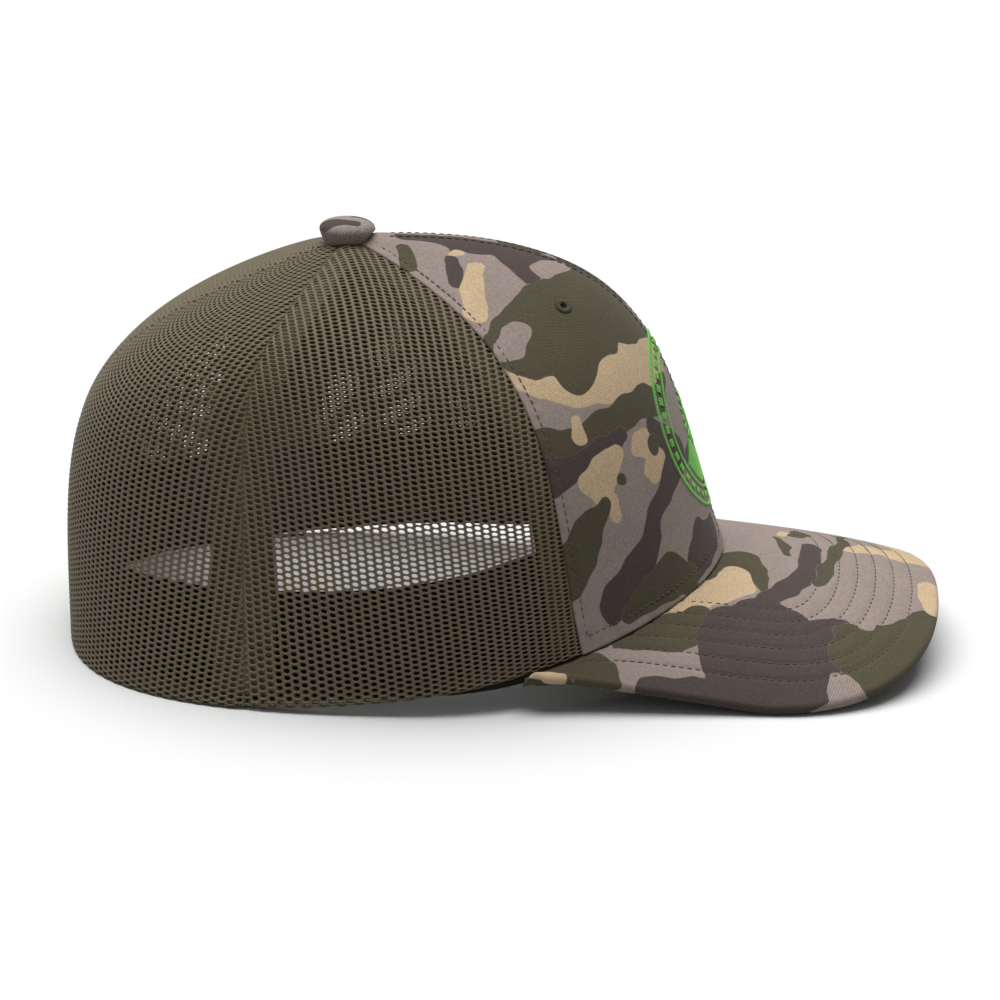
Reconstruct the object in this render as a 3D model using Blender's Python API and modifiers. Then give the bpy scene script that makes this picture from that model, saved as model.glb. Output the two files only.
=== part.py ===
"""Trucker cap: camouflage front, mesh sides and back, closed stretch back, curved visor.

Metres, +Z up. The cap rests on z = 0 with the visor towards -Y and the wearer's left at +X.
The origin is the middle of the cap's outline seen from above, on the resting plane. Sizes are
measured from the head centre, an empty that carries every part and stands behind the origin.

Every layer of the crown is a patch of one surface, pushed inwards by a depth. A point of that
surface is given by its azimuth (degrees from the front centre, positive to the wearer's left)
and its rise (0 at the crown's edge, 1 at the apex). The visor's layers share one surface too,
given by across (-1 to 1, horn to horn) and out (0 at the crown, 1 at the outer edge).
"""

import math

import bmesh
import bpy
import numpy as np
from mathutils import Matrix, Vector

HEAD_CENTRE_Y = 0.0351      # middle of the head opening, behind the origin

# Crown, outside surface, from the head centre
CROWN_FRONT = 0.1052        # to the front centre of the edge
CROWN_BACK = 0.1026         # to the back centre of the edge
CROWN_HALF_WIDTH = 0.0858
FRONT_ROUNDNESS = 1.90      # exponent of the plan's superellipse: 2 is an ellipse
BACK_ROUNDNESS = 2.72
FRONT_EDGE_LIFT = 0.0285    # how far the edge stands above the table at the front centre
LIFT_STARTS_Y = 0.070       # the edge is flat on the table behind this line
LIFT_POWER = 2.09
APEX_Y = 0.0168
APEX_Z = 0.1268
# Each meridian is a cubic Bezier curve from the edge to the apex:
# azimuth, lean at the edge (deg), lower handle, slope at the apex (deg), upper handle
MERIDIANS = (
    (0, 22.0, 0.059, -4, 0.107),
    (49, 13.5, 0.049, 10, 0.102),
    (90, 6.0, 0.079, 9, 0.073),
    (118, 16.0, 0.098, 13, 0.088),
    (180, -4.0, 0.0875, 24, 0.088),
)

# Seams between the six panels
FRONT_SEAM = 49.4           # azimuth of the seam between a front panel and a side panel
BACK_SEAM = 116.8           # azimuth of the seam between a side panel and a back panel
SEAM_BOWS = {FRONT_SEAM: 2.2, BACK_SEAM: 5.2}  # how far the seam swings back halfway up (deg)
SEAM_GAP = 0.0006
TOP_OPENING_RADIUS = 0.0055  # the panels stop here, under the button

# Layers of the crown, as depths under the outside surface
TWILL_THICKNESS = 0.0008
MESH_THICKNESS = 0.0010
BUCKRAM_DEPTH = 0.0012
BUCKRAM_THICKNESS = 0.0006
BUCKRAM_TRIM = 0.0010       # the stiffener stops this far from the seams
BUCKRAM_BOTTOM = 0.0040     # and this far above the crown's edge
BUCKRAM_TOP_RADIUS = 0.0150
TAPE_DEPTH = 0.0023
TAPE_THICKNESS = 0.0005
TAPE_WIDTH = 0.018
TAPE_TOP_RADIUS = 0.0085
TAPE_BOTTOM = 0.0041        # above the crown's edge
TAPE_SPACING = 3.0          # least angle left between two tapes near the top (deg)
SWEATBAND_DEPTH = 0.0034
SWEATBAND_THICKNESS = 0.0014
SWEATBAND_HEIGHT = 0.0345
SWEATBAND_CLEARANCE = 0.0022  # above the crown's edge
BINDING_HEIGHT = 0.0030
BINDING_OVERHANG = 0.0003   # how far the binding stands proud of the mesh
BINDING_WIDTH = 0.0029
BINDING_GAP = 0.0004        # between the binding and the mesh above it
BINDING_MARGIN = 0.6        # the binding stops this far behind the front seams (deg)

# Visor
VISOR_TIP_Y = -0.1742
VISOR_WIDEST_Y = -0.1142
VISOR_HALF_WIDTH = 0.0790
HORN_X = 0.0815
HORN_Y = -0.0400
HORN_Z = 0.0130
VISOR_SIDE_Z = -0.0013      # underside of the outer edge at its widest, before its curl
TIP_Z = 0.0157              # underside of the outer edge at the tip
TIP_DROP_POWER = 1.6
TIP_HANDLE = 0.0790
FRONT_CORNER_HANDLE = 0.0110
SIDE_HANDLE = 0.0280
HORN_HANDLE = 0.0150
WIDEST_ACROSS = 0.442       # across value at the widest point
VISOR_CROWN_AZIMUTH = 62.8  # azimuth where the visor leaves the crown
VISOR_ARCH = 0.0027
VISOR_UNDER_CROWN = 0.0004  # the visor's top lies this far below the crown's edge
VISOR_ROOT_GAP = 0.0008     # and this far out from it
COVER_THICKNESS = 0.0007
BOARD_THICKNESS = 0.0018
LAYER_GAP = 0.0004
EDGE_TURN = 0.0021          # the board and lining stop this far inside the top cover's edge
EDGE_BULGE = 0.0004         # the top cover's turned edge stands out by this much
VISOR_REACH = 0.985         # across value where the top cover ends, just short of the horns
INNER_REACH = 0.945         # across value where the board and the lining end

# Button, rivet, eyelets and badge
BUTTON_RADIUS = 0.0087
BUTTON_HEIGHT = 0.0041
BUTTON_SKIRT = 0.0014       # height of its straight side, under the dome
BUTTON_TAPER = 0.0005       # how far the skirt draws in at its foot
BUTTON_GAP = 0.0004         # between its cloth and its core
BUTTON_BASE_Z = 0.1280
BUTTON_Y = 0.0160
COVER_CLOTH = 0.0006
CORE_INSET = 0.0007         # the core is this much narrower than the inside of the cloth
CORE_SOCKET_DEPTH = 0.0022  # of the hole the pin goes into
RIVET_GAP = 0.0003
RIVET_RADIUS = 0.0016
RIVET_REACH = 0.0018        # how far the pin stands up into the button
RIVET_FLANGE_RADIUS = 0.0070
RIVET_FLANGE_THICKNESS = 0.0008
RIVET_FLANGE_Z = 0.1205
EYELET_AZIMUTH = 22.0
EYELET_RISE = 0.68
EYELET_RADIUS = 0.0024
EYELET_WIRE = 0.0007
BADGE_RADIUS = 0.0280
BADGE_HEIGHT = 0.0700       # height of the badge's middle above the table
BADGE_THICKNESS = 0.0010
BADGE_GAP = 0.0004
BADGE_HOLE = 0.04           # share of the radius left open before the middle is filled
TWILL_CLEARANCE = 0.0003    # under an eyelet

# Loose label, sewn to the inside of the sweatband along its top edge
LABEL_AZIMUTHS = (111.5, 141.0)
LABEL_TOP = 0.0335          # height of its sewn edge above the crown's edge
LABEL_HEIGHT = 0.0305
LABEL_THICKNESS = 0.0006
LABEL_DEPTH = SWEATBAND_DEPTH + SWEATBAND_THICKNESS + 0.0005

ROWS = 13                   # of faces' corners up each crown layer
VISOR_COLUMNS = 27
SAFE_MERGE = 0.00001


def clear_scene():
    """Remove every object, whatever the script is run from."""
    for item in list(bpy.data.objects):
        bpy.data.objects.remove(item, do_unlink=True)


def new_collection(name):
    collection = bpy.data.collections.new(name)
    bpy.context.scene.collection.children.link(collection)
    return collection


def add_head_centre():
    """The empty that every part is placed from."""
    centre = bpy.data.objects.new("head_centre", None)
    centre.location = (0, HEAD_CENTRE_Y, 0)
    bpy.data.collections["trucker_cap"].objects.link(centre)


def material(name, colour, roughness, metallic=0.0):
    """A Principled material with one colour."""
    made = bpy.data.materials.new(name)
    made.use_nodes = True
    shader = made.node_tree.nodes["Principled BSDF"]
    shader.inputs["Base Color"].default_value = (*colour, 1.0)
    shader.inputs["Roughness"].default_value = roughness
    shader.inputs["Metallic"].default_value = metallic
    made.diffuse_color = (*colour, 1.0)
    return made


def add_part(name, mesh, look):
    """Put a mesh in the cap's collection as one named part."""
    mesh.materials.append(look)
    mesh.shade_smooth()
    mesh.set_sharp_from_angle(angle=math.radians(40))
    part = bpy.data.objects.new(name, mesh)
    part.parent = bpy.data.objects["head_centre"]
    bpy.data.collections["trucker_cap"].objects.link(part)
    return part


# ---------------------------------------------------------------- crown surface


def meridian_value(column, azimuth):
    """A smooth curve round the crown through one column of MERIDIANS, mirrored left to right."""
    table = np.array(MERIDIANS, float)
    knots = np.concatenate((-table[:0:-1, 0], table[:, 0], 360 - table[-2:0:-1, 0]))
    values = np.concatenate((table[:0:-1, column], table[:, column], table[-2:0:-1, column]))
    slopes = np.gradient(values, knots)
    turned = np.mod(np.abs(azimuth), 360.0)
    index = np.clip(np.searchsorted(knots, turned, side="right") - 1, 0, len(knots) - 2)
    span = knots[index + 1] - knots[index]
    t = (turned - knots[index]) / span
    start = (1 + 2 * t) * (1 - t) ** 2 * values[index] + t * (1 - t) ** 2 * span * slopes[index]
    end = t * t * (3 - 2 * t) * values[index + 1] + t * t * (t - 1) * span * slopes[index + 1]
    return start + end


def crown_edge(azimuth):
    """The crown's lower edge: a superellipse in plan that lifts off the table towards the front."""
    angle = np.radians(azimuth)
    forward, side = np.cos(angle), np.sin(angle)
    blend = 0.5 + 0.5 * np.tanh(forward / 0.35)
    power = BACK_ROUNDNESS + (FRONT_ROUNDNESS - BACK_ROUNDNESS) * blend
    reach = np.where(forward > 0, CROWN_FRONT, CROWN_BACK)
    radius = (np.abs(forward / reach) ** power + np.abs(side / CROWN_HALF_WIDTH) ** power) ** (-1 / power)
    x, y = radius * side, -radius * forward
    lifted = np.clip((LIFT_STARTS_Y - y) / (LIFT_STARTS_Y + CROWN_FRONT), 0, 1.2)
    return np.stack((x, y, FRONT_EDGE_LIFT * lifted ** LIFT_POWER), axis=-1)


def crown_surface(azimuth, rise):
    """Points on the crown's outside surface."""
    azimuth, rise = np.broadcast_arrays(np.asarray(azimuth, float), np.asarray(rise, float))
    edge = crown_edge(azimuth)
    apex = np.broadcast_to(np.array((0.0, APEX_Y, APEX_Z)), edge.shape)
    inward = (apex - edge) * (1, 1, 0)
    inward = inward / np.linalg.norm(inward, axis=-1, keepdims=True)
    up = np.array((0.0, 0.0, 1.0))
    lean = np.radians(meridian_value(1, azimuth))[..., None]
    lower = meridian_value(2, azimuth)[..., None]
    slope = np.radians(meridian_value(3, azimuth))[..., None]
    upper = meridian_value(4, azimuth)[..., None]
    foot = edge + lower * (inward * np.sin(lean) + up * np.cos(lean))
    head = apex - upper * (inward * np.cos(slope) + up * np.sin(slope))
    t = rise[..., None]
    return (1 - t) ** 3 * edge + 3 * (1 - t) ** 2 * t * foot + 3 * (1 - t) * t * t * head + t ** 3 * apex


def crown_normal(azimuth, rise):
    """Unit normals of the crown, pointing out."""
    turn, climb = 0.5, 0.005
    round_it = crown_surface(azimuth + turn, rise) - crown_surface(azimuth - turn, rise)
    up_it = crown_surface(azimuth, rise + climb) - crown_surface(azimuth, rise - climb)
    normal = np.cross(round_it, up_it)
    return normal / np.linalg.norm(normal, axis=-1, keepdims=True)


def crown_layer(azimuth, rise, depth):
    """Points at a depth under the crown's outside surface."""
    azimuth, rise = np.broadcast_arrays(np.asarray(azimuth, float), np.asarray(rise, float))
    return crown_surface(azimuth, rise) - depth * crown_normal(azimuth, rise)


def solve_rise(azimuth, reached):
    """The rise at which reached(point) first turns true, found by halving the interval."""
    low = np.zeros_like(azimuth)
    high = np.ones_like(azimuth)
    for _ in range(30):
        middle = (low + high) / 2
        over = reached(crown_surface(azimuth, middle))
        high = np.where(over, middle, high)
        low = np.where(over, low, middle)
    return high


def rise_at_height(azimuth, height):
    """The rise where the crown is a height above its own edge."""
    edge_z = crown_edge(azimuth)[..., 2]
    return solve_rise(azimuth, lambda point: point[..., 2] > edge_z + height)


def rise_at_radius(azimuth, radius):
    """The rise where the crown is a level distance from the apex's vertical line."""
    return solve_rise(azimuth, lambda point: np.hypot(point[..., 0], point[..., 1] - APEX_Y) < radius)


def level_radius(azimuth, rise):
    """Level distance of crown points from the apex's vertical line."""
    point = crown_surface(azimuth, rise)
    return np.hypot(point[..., 0], point[..., 1] - APEX_Y)


# ---------------------------------------------------------------- meshes from grids


def grid_mesh(name, points, closed=False):
    """An open surface from a grid of points [row, column], joined round when closed."""
    rows, columns = points.shape[:2]
    build = bmesh.new()
    verts = [[build.verts.new(Vector(point)) for point in row] for row in points]
    last = columns if closed else columns - 1
    for row in range(rows - 1):
        for column in range(last):
            beside = (column + 1) % columns
            build.faces.new((verts[row][column], verts[row][beside],
                             verts[row + 1][beside], verts[row + 1][column]))
    mesh = bpy.data.meshes.new(name)
    build.to_mesh(mesh)
    build.free()
    return mesh


def swept_mesh(name, rings):
    """A closed body from rings of points [ring, point] with a flat cap at each end."""
    build = bmesh.new()
    verts = [[build.verts.new(Vector(point)) for point in ring] for ring in rings]
    count = len(rings[0])
    for near, far in zip(verts, verts[1:]):
        for index in range(count):
            beside = (index + 1) % count
            build.faces.new((near[index], near[beside], far[beside], far[index]))
    build.faces.new(verts[0][::-1])
    build.faces.new(verts[-1])
    bmesh.ops.recalc_face_normals(build, faces=build.faces)
    mesh = bpy.data.meshes.new(name)
    build.to_mesh(mesh)
    build.free()
    return mesh


def add_shell(name, points, thickness, look, closed=False):
    """A thin closed shell: a grid surface thickened inwards."""
    part = add_part(name, grid_mesh(name, points, closed), look)
    solid = part.modifiers.new("thickness", "SOLIDIFY")
    solid.thickness = thickness
    solid.offset = -1
    solid.use_even_offset = False
    return part


# ---------------------------------------------------------------- crown pieces


def seam_azimuth(seam, rise):
    """The azimuth of a bowed seam at a rise. Seams on the wearer's right are mirrored."""
    return seam + math.copysign(SEAM_BOWS.get(abs(seam), 0), seam) * 4 * rise * (1 - rise)


def panel_grid(start, end, columns, depth, bottom_height, top_radius, trim=SEAM_GAP / 2):
    """A grid over the crown between two seams, trimmed back from them by a width."""
    base = np.linspace(start, end, columns)
    low = rise_at_height(base, bottom_height) if bottom_height else np.zeros(columns)
    high = rise_at_radius(base, top_radius)
    rows = []
    for share in np.linspace(0, 1, ROWS):
        rise = low + (high - low) * share
        margin = math.degrees(1) * trim / level_radius(base, rise)
        first = seam_azimuth(start, rise[0]) + margin[0]
        last = seam_azimuth(end, rise[-1]) - margin[-1]
        azimuth = first + (last - first) * (base - start) / (end - start)
        rows.append(crown_layer(azimuth, rise, depth))
    return np.array(rows)


def add_front_panels(twill):
    for side, start, end in (("right", -FRONT_SEAM, 0), ("left", 0, FRONT_SEAM)):
        grid = panel_grid(start, end, 9, 0, 0, TOP_OPENING_RADIUS)
        add_shell(f"front_panel_{side}", grid, TWILL_THICKNESS, twill)


def add_buckrams(buckram):
    for side, start, end in (("right", -FRONT_SEAM, 0), ("left", 0, FRONT_SEAM)):
        grid = panel_grid(start, end, 8, BUCKRAM_DEPTH, BUCKRAM_BOTTOM, BUCKRAM_TOP_RADIUS, BUCKRAM_TRIM)
        add_shell(f"front_buckram_{side}", grid, BUCKRAM_THICKNESS, buckram)


def add_mesh_panels(netting):
    lift = BINDING_HEIGHT + BINDING_GAP
    for name, start, end, columns in (
        ("side_mesh_right", -BACK_SEAM, -FRONT_SEAM, 11),
        ("side_mesh_left", FRONT_SEAM, BACK_SEAM, 11),
        ("back_mesh_right", -180, -BACK_SEAM, 10),
        ("back_mesh_left", BACK_SEAM, 180, 10),
    ):
        grid = panel_grid(start, end, columns, 0, lift, TOP_OPENING_RADIUS)
        add_shell(name, grid, MESH_THICKNESS, netting)


def add_seam_tape(name, seam, neighbour, cloth):
    """A strip centred under one seam, narrowed near the top so that six of them fit."""
    columns = 4
    centre = np.full(columns, float(seam))
    low = rise_at_height(centre, TAPE_BOTTOM)
    high = rise_at_radius(centre, TAPE_TOP_RADIUS)
    rows = []
    for share in np.linspace(0, 1, ROWS):
        rise = low + (high - low) * share
        radius = level_radius(centre, rise)
        half = np.minimum(math.degrees(1) * TAPE_WIDTH / 2 / radius, (neighbour - TAPE_SPACING) / 2)
        azimuth = seam_azimuth(seam, rise) + half * np.linspace(-1, 1, columns)
        rows.append(crown_layer(azimuth, rise, TAPE_DEPTH))
    add_shell(name, np.array(rows), TAPE_THICKNESS, cloth)


def add_seam_tapes(cloth):
    side_gap = BACK_SEAM - FRONT_SEAM
    back_gap = 180 - BACK_SEAM
    for name, seam, neighbour in (
        ("seam_tape_front_centre", 0, FRONT_SEAM),
        ("seam_tape_front_right", -FRONT_SEAM, FRONT_SEAM),
        ("seam_tape_front_left", FRONT_SEAM, FRONT_SEAM),
        ("seam_tape_back_right", -BACK_SEAM, min(side_gap, back_gap)),
        ("seam_tape_back_left", BACK_SEAM, min(side_gap, back_gap)),
        ("seam_tape_back_centre", 180, back_gap),
    ):
        add_seam_tape(name, seam, neighbour, cloth)


def sweatband_point(azimuth, height, depth):
    """A point at a height above the crown's edge, on the band's side of the crown."""
    return crown_layer(azimuth, rise_at_height(azimuth, height), depth)


def add_sweatband(cloth):
    azimuth = np.arange(-180.0, 180.0, 6.0)
    heights = (SWEATBAND_CLEARANCE, SWEATBAND_HEIGHT * 0.33, SWEATBAND_HEIGHT * 0.67, SWEATBAND_HEIGHT)
    grid = np.array([sweatband_point(azimuth, height, SWEATBAND_DEPTH) for height in heights])
    add_shell("sweatband", grid, SWEATBAND_THICKNESS, cloth, closed=True)


def add_bottom_binding(cloth):
    """The turned and bound edge of the mesh. It has a level underside, which the cap rests on."""
    start = FRONT_SEAM + BINDING_MARGIN
    azimuth = np.linspace(start, 360 - start, 53)
    edge = crown_edge(azimuth)
    out = crown_normal(azimuth, np.zeros_like(azimuth)) * (1, 1, 0)
    out = out / np.linalg.norm(out, axis=-1, keepdims=True)
    outer = edge + out * BINDING_OVERHANG
    inner = outer - out * BINDING_WIDTH
    top = crown_layer(azimuth, rise_at_height(azimuth, BINDING_HEIGHT), 0)
    top_outer = top + out * BINDING_OVERHANG
    top_inner = top_outer - out * BINDING_WIDTH
    add_part("bottom_binding", swept_mesh("bottom_binding", np.stack(
        (outer, top_outer, top_inner, inner), axis=1)), cloth)


# ---------------------------------------------------------------- visor


def bezier(first, second, third, fourth, t):
    rest = 1 - t
    return rest ** 3 * first + 3 * rest * rest * t * second + 3 * rest * t * t * third + t ** 3 * fourth


def visor_rim(across):
    """Underside of the visor's outer edge, from horn (-1) over the tip (0) to horn (1)."""
    share = np.abs(across)
    front = np.clip(share / WIDEST_ACROSS, 0, 1)
    back = np.clip((share - WIDEST_ACROSS) / (1 - WIDEST_ACROSS), 0, 1)
    ahead = share < WIDEST_ACROSS
    front_x = bezier(0, TIP_HANDLE, VISOR_HALF_WIDTH, VISOR_HALF_WIDTH, front)
    front_y = bezier(VISOR_TIP_Y, VISOR_TIP_Y, VISOR_WIDEST_Y - FRONT_CORNER_HANDLE, VISOR_WIDEST_Y, front)
    back_x = bezier(VISOR_HALF_WIDTH, VISOR_HALF_WIDTH, HORN_X, HORN_X, back)
    back_y = bezier(VISOR_WIDEST_Y, VISOR_WIDEST_Y + SIDE_HANDLE, HORN_Y - HORN_HANDLE, HORN_Y, back)
    x = np.where(ahead, front_x, back_x)
    drop = np.clip(x / VISOR_HALF_WIDTH, 0, 1) ** TIP_DROP_POWER
    z = VISOR_SIDE_Z + np.where(ahead, TIP_Z * (1 - drop), HORN_Z * back)
    return np.stack((x * np.sign(across), np.where(ahead, front_y, back_y), z), axis=-1)


def visor_thickness():
    return 2 * COVER_THICKNESS + 2 * LAYER_GAP + BOARD_THICKNESS


def visor_top(across, out):
    """Points on the visor's top surface."""
    across, out = np.broadcast_arrays(np.asarray(across, float), np.asarray(out, float))
    up = np.array((0.0, 0.0, 1.0))
    edge = crown_edge(across * VISOR_CROWN_AZIMUTH)
    away = edge * (1, 1, 0) / np.linalg.norm(edge[..., :2], axis=-1, keepdims=True)
    root = edge + away * VISOR_ROOT_GAP - VISOR_UNDER_CROWN * up
    rim = visor_rim(across) + visor_thickness() * up
    arch = 4 * VISOR_ARCH * out * (1 - out) * (1 - across ** 2)
    return root + (rim - root) * out[..., None] + arch[..., None] * up


def visor_normal(across, out):
    """Unit normals of the visor's top, pointing up."""
    step_across, step_out = 0.01, 0.02
    along = visor_top(across + step_across, out) - visor_top(across - step_across, out)
    outward = visor_top(across, out + step_out) - visor_top(across, out - step_out)
    normal = np.cross(outward, along)
    return normal / np.linalg.norm(normal, axis=-1, keepdims=True)


def visor_grid(depth, shorten, across_reach):
    """A grid over the visor, at a depth under its top and cut short of the edge by a width."""
    across = np.linspace(-across_reach, across_reach, VISOR_COLUMNS)
    reach = np.linalg.norm(visor_top(across, 1.0) - visor_top(across, 0.0), axis=-1)
    rows = []
    for share in np.linspace(0, 1, 6):
        out = share * (1 - shorten / reach)
        rows.append(visor_top(across, out) - depth * visor_normal(across, out))
    return np.array(rows)[::-1]


def add_visor(twill, board, lining):
    board_depth = COVER_THICKNESS + LAYER_GAP
    under_depth = board_depth + BOARD_THICKNESS + LAYER_GAP
    top = visor_grid(0, 0, VISOR_REACH)
    outward = top[0] - top[1]
    outward = outward / np.linalg.norm(outward, axis=-1, keepdims=True)
    down = -visor_normal(np.linspace(-VISOR_REACH, VISOR_REACH, VISOR_COLUMNS), 1.0)
    turned = [top[0] + outward * EDGE_BULGE + down * visor_thickness() * share for share in (0.75, 0.35)]
    add_shell("visor_top_cover", np.concatenate((turned, top)), COVER_THICKNESS, twill)
    add_shell("visor_board", visor_grid(board_depth, EDGE_TURN, INNER_REACH), BOARD_THICKNESS, board)
    add_shell("visor_bottom_cover", visor_grid(under_depth, EDGE_TURN, INNER_REACH), COVER_THICKNESS, lining)


# ---------------------------------------------------------------- button, eyelets, badge, label


def turned_part(name, profile, look, centre, segments=20):
    """A turned body: a closed profile of (radius, height) pairs spun round the vertical."""
    build = bmesh.new()
    verts = [build.verts.new((radius, 0, height)) for radius, height in profile]
    for first, second in zip(verts, verts[1:]):
        build.edges.new((first, second))
    mesh = bpy.data.meshes.new(name)
    build.to_mesh(mesh)
    build.free()
    part = add_part(name, mesh, look)
    part.location = centre
    spin = part.modifiers.new("spin", "SCREW")
    spin.steps = segments
    spin.render_steps = segments
    spin.use_merge_vertices = True
    spin.merge_threshold = SAFE_MERGE
    spin.use_smooth_shade = True
    return part


def dome(radius, height, steps=5, roundness=0.62):
    """Half the outline of a bun-shaped dome, from its top centre down to its widest point."""
    outline = []
    for step in range(steps + 1):
        angle = math.pi / 2 * step / steps
        outline.append((radius * math.sin(angle) ** roundness if step else 0.0, height * math.cos(angle)))
    return outline


def add_button(twill, steel):
    """The cloth-covered button: a domed cloth shell over a steel core with a socket under it."""
    centre = (0, BUTTON_Y, BUTTON_BASE_Z)
    inner_radius = BUTTON_RADIUS - COVER_CLOTH
    core_radius = inner_radius - CORE_INSET
    rise = BUTTON_HEIGHT - BUTTON_SKIRT
    outside, inside, core = [
        [(reach, BUTTON_SKIRT + height) for reach, height in dome(radius, drop)]
        for radius, drop in ((BUTTON_RADIUS, rise), (inner_radius, rise - COVER_CLOTH),
                             (core_radius, rise - COVER_CLOTH - BUTTON_GAP))
    ]
    foot = [(BUTTON_RADIUS - BUTTON_TAPER, 0), (inner_radius - BUTTON_TAPER, 0)]
    turned_part("button_cover", outside + foot + inside[::-1], twill, centre)
    socket_radius = RIVET_RADIUS + RIVET_GAP
    underside = [
        (core_radius - BUTTON_TAPER, RIVET_GAP),
        (socket_radius, RIVET_GAP),
        (socket_radius, CORE_SOCKET_DEPTH),
        (0, CORE_SOCKET_DEPTH),
    ]
    turned_part("button_core", core + underside, steel, centre)


def add_rivet(steel):
    """The pin that holds the button, with a flange inside the crown."""
    top = BUTTON_BASE_Z + RIVET_REACH
    profile = [
        (0, top),
        (RIVET_RADIUS, top),
        (RIVET_RADIUS, RIVET_FLANGE_Z + RIVET_FLANGE_THICKNESS),
        (RIVET_FLANGE_RADIUS, RIVET_FLANGE_Z + RIVET_FLANGE_THICKNESS),
        (RIVET_FLANGE_RADIUS, RIVET_FLANGE_Z),
        (0, RIVET_FLANGE_Z),
    ]
    turned_part("button_rivet", profile, steel, (0, BUTTON_Y, 0))


def facing(normal, point):
    """A matrix that stands local +Z along a normal, at a point."""
    turn = Vector(normal).to_track_quat("Z", "Y").to_matrix().to_4x4()
    return Matrix.Translation(Vector(point)) @ turn


def add_eyelets(thread):
    """Ring-shaped stitched eyelets, one in each front panel, resting just above the twill."""
    for side, sign in (("right", -1), ("left", 1)):
        azimuth, rise = np.array(sign * EYELET_AZIMUTH), np.array(EYELET_RISE)
        point = crown_layer(azimuth, rise, -(EYELET_WIRE + TWILL_CLEARANCE))
        bpy.ops.mesh.primitive_torus_add(major_segments=18, minor_segments=6,
                                         major_radius=EYELET_RADIUS, minor_radius=EYELET_WIRE)
        ring = bpy.context.object
        mesh = ring.data
        bpy.data.objects.remove(ring)
        part = add_part(f"eyelet_{side}", mesh, thread)
        part.matrix_basis = facing(crown_normal(azimuth, rise), point)


def crown_at(x, z):
    """Azimuth and rise of the front crown point with a given x and height."""
    azimuth, rise = 0.0, 0.4
    for _ in range(12):
        here = crown_surface(np.array(azimuth), np.array(rise))
        by_azimuth = crown_surface(np.array(azimuth + 0.5), np.array(rise)) - here
        by_rise = crown_surface(np.array(azimuth), np.array(rise + 0.005)) - here
        slopes = np.array(((by_azimuth[0] / 0.5, by_rise[0] / 0.005), (by_azimuth[2] / 0.5, by_rise[2] / 0.005)))
        step = np.linalg.solve(slopes, np.array((x - here[0], z - here[2])))
        azimuth += step[0]
        rise += step[1]
    return azimuth, rise


def add_badge(thread):
    """A round embroidered patch that follows the front of the crown."""
    spokes, rings = 32, 5
    rows = []
    for ring in range(rings + 1):
        radius = BADGE_RADIUS * (BADGE_HOLE + (1 - BADGE_HOLE) * ring / rings)
        row = []
        for spoke in range(spokes):
            turn = 2 * math.pi * spoke / spokes
            azimuth, rise = crown_at(radius * math.cos(turn), BADGE_HEIGHT + radius * math.sin(turn))
            lift = -(BADGE_THICKNESS + BADGE_GAP)
            row.append(crown_layer(np.array(azimuth), np.array(rise), lift))
        rows.append(row)
    mesh = grid_mesh("front_badge", np.array(rows)[::-1], closed=True)
    build = bmesh.new()
    build.from_mesh(mesh)
    bmesh.ops.holes_fill(build, edges=[edge for edge in build.edges
                                       if edge.is_boundary and edge.calc_length() < BADGE_THICKNESS])
    bmesh.ops.recalc_face_normals(build, faces=build.faces)
    outward = sum(face.normal.y * face.calc_area() for face in build.faces)
    if outward > 0:
        bmesh.ops.reverse_faces(build, faces=build.faces)
    build.to_mesh(mesh)
    build.free()
    part = add_part("front_badge", mesh, thread)
    solid = part.modifiers.new("thickness", "SOLIDIFY")
    solid.thickness = BADGE_THICKNESS
    solid.offset = -1


def add_label(cloth):
    """A blank label, sewn along its top edge, that lifts like a flap. Its origin is on that edge."""
    ends = sweatband_point(np.array(LABEL_AZIMUTHS), LABEL_TOP, LABEL_DEPTH)
    hinge = (ends[0] + ends[1]) / 2
    azimuth = np.linspace(*LABEL_AZIMUTHS, 9)
    heights = np.linspace(LABEL_TOP - LABEL_HEIGHT, LABEL_TOP, 5)
    grid = np.array([sweatband_point(azimuth, height, LABEL_DEPTH) - hinge for height in heights])
    part = add_shell("size_label", grid, LABEL_THICKNESS, cloth)
    part.location = hinge


def build_cap():
    clear_scene()
    new_collection("trucker_cap")
    add_head_centre()
    twill = material("camo_twill", (0.30, 0.27, 0.22), 0.9)
    add_front_panels(twill)
    add_buckrams(material("buckram", (0.55, 0.53, 0.48), 0.85))
    add_mesh_panels(material("mesh_netting", (0.085, 0.075, 0.045), 0.75))
    add_seam_tapes(material("seam_tape", (0.10, 0.09, 0.055), 0.85))
    add_sweatband(material("sweatband_cloth", (0.050, 0.045, 0.035), 0.9))
    add_bottom_binding(material("edge_binding", (0.09, 0.08, 0.05), 0.85))
    add_visor(material("visor_camo_twill", (0.30, 0.27, 0.22), 0.9),
              material("visor_board", (0.75, 0.75, 0.72), 0.5),
              material("visor_lining", (0.10, 0.11, 0.06), 0.9))
    add_button(material("button_camo_twill", (0.28, 0.24, 0.22), 0.9),
               material("button_steel", (0.55, 0.55, 0.55), 0.4, metallic=1.0))
    add_rivet(material("rivet_steel", (0.55, 0.55, 0.55), 0.4, metallic=1.0))
    add_eyelets(material("eyelet_thread", (0.10, 0.11, 0.06), 0.7))
    add_badge(material("badge_thread", (0.16, 0.50, 0.10), 0.6))
    add_label(material("label_satin", (0.030, 0.022, 0.025), 0.5))


build_cap()
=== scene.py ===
"""Looks of the trucker cap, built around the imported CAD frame.

Points are worked out from the head centre (metres, +Z up, the visor towards -Y, the wearer's
left at +X) and moved into the frame when a piece is made. The crown is one surface of azimuth
(degrees from the front centre, positive to the wearer's left) and rise (0 at the edge, 1 at the
apex). The visor is one surface of across (-1 to 1, horn to horn) and out (0 to 1, crown to rim).
"""

import math

import bpy
import numpy as np
from mathutils import Matrix, Vector


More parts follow.
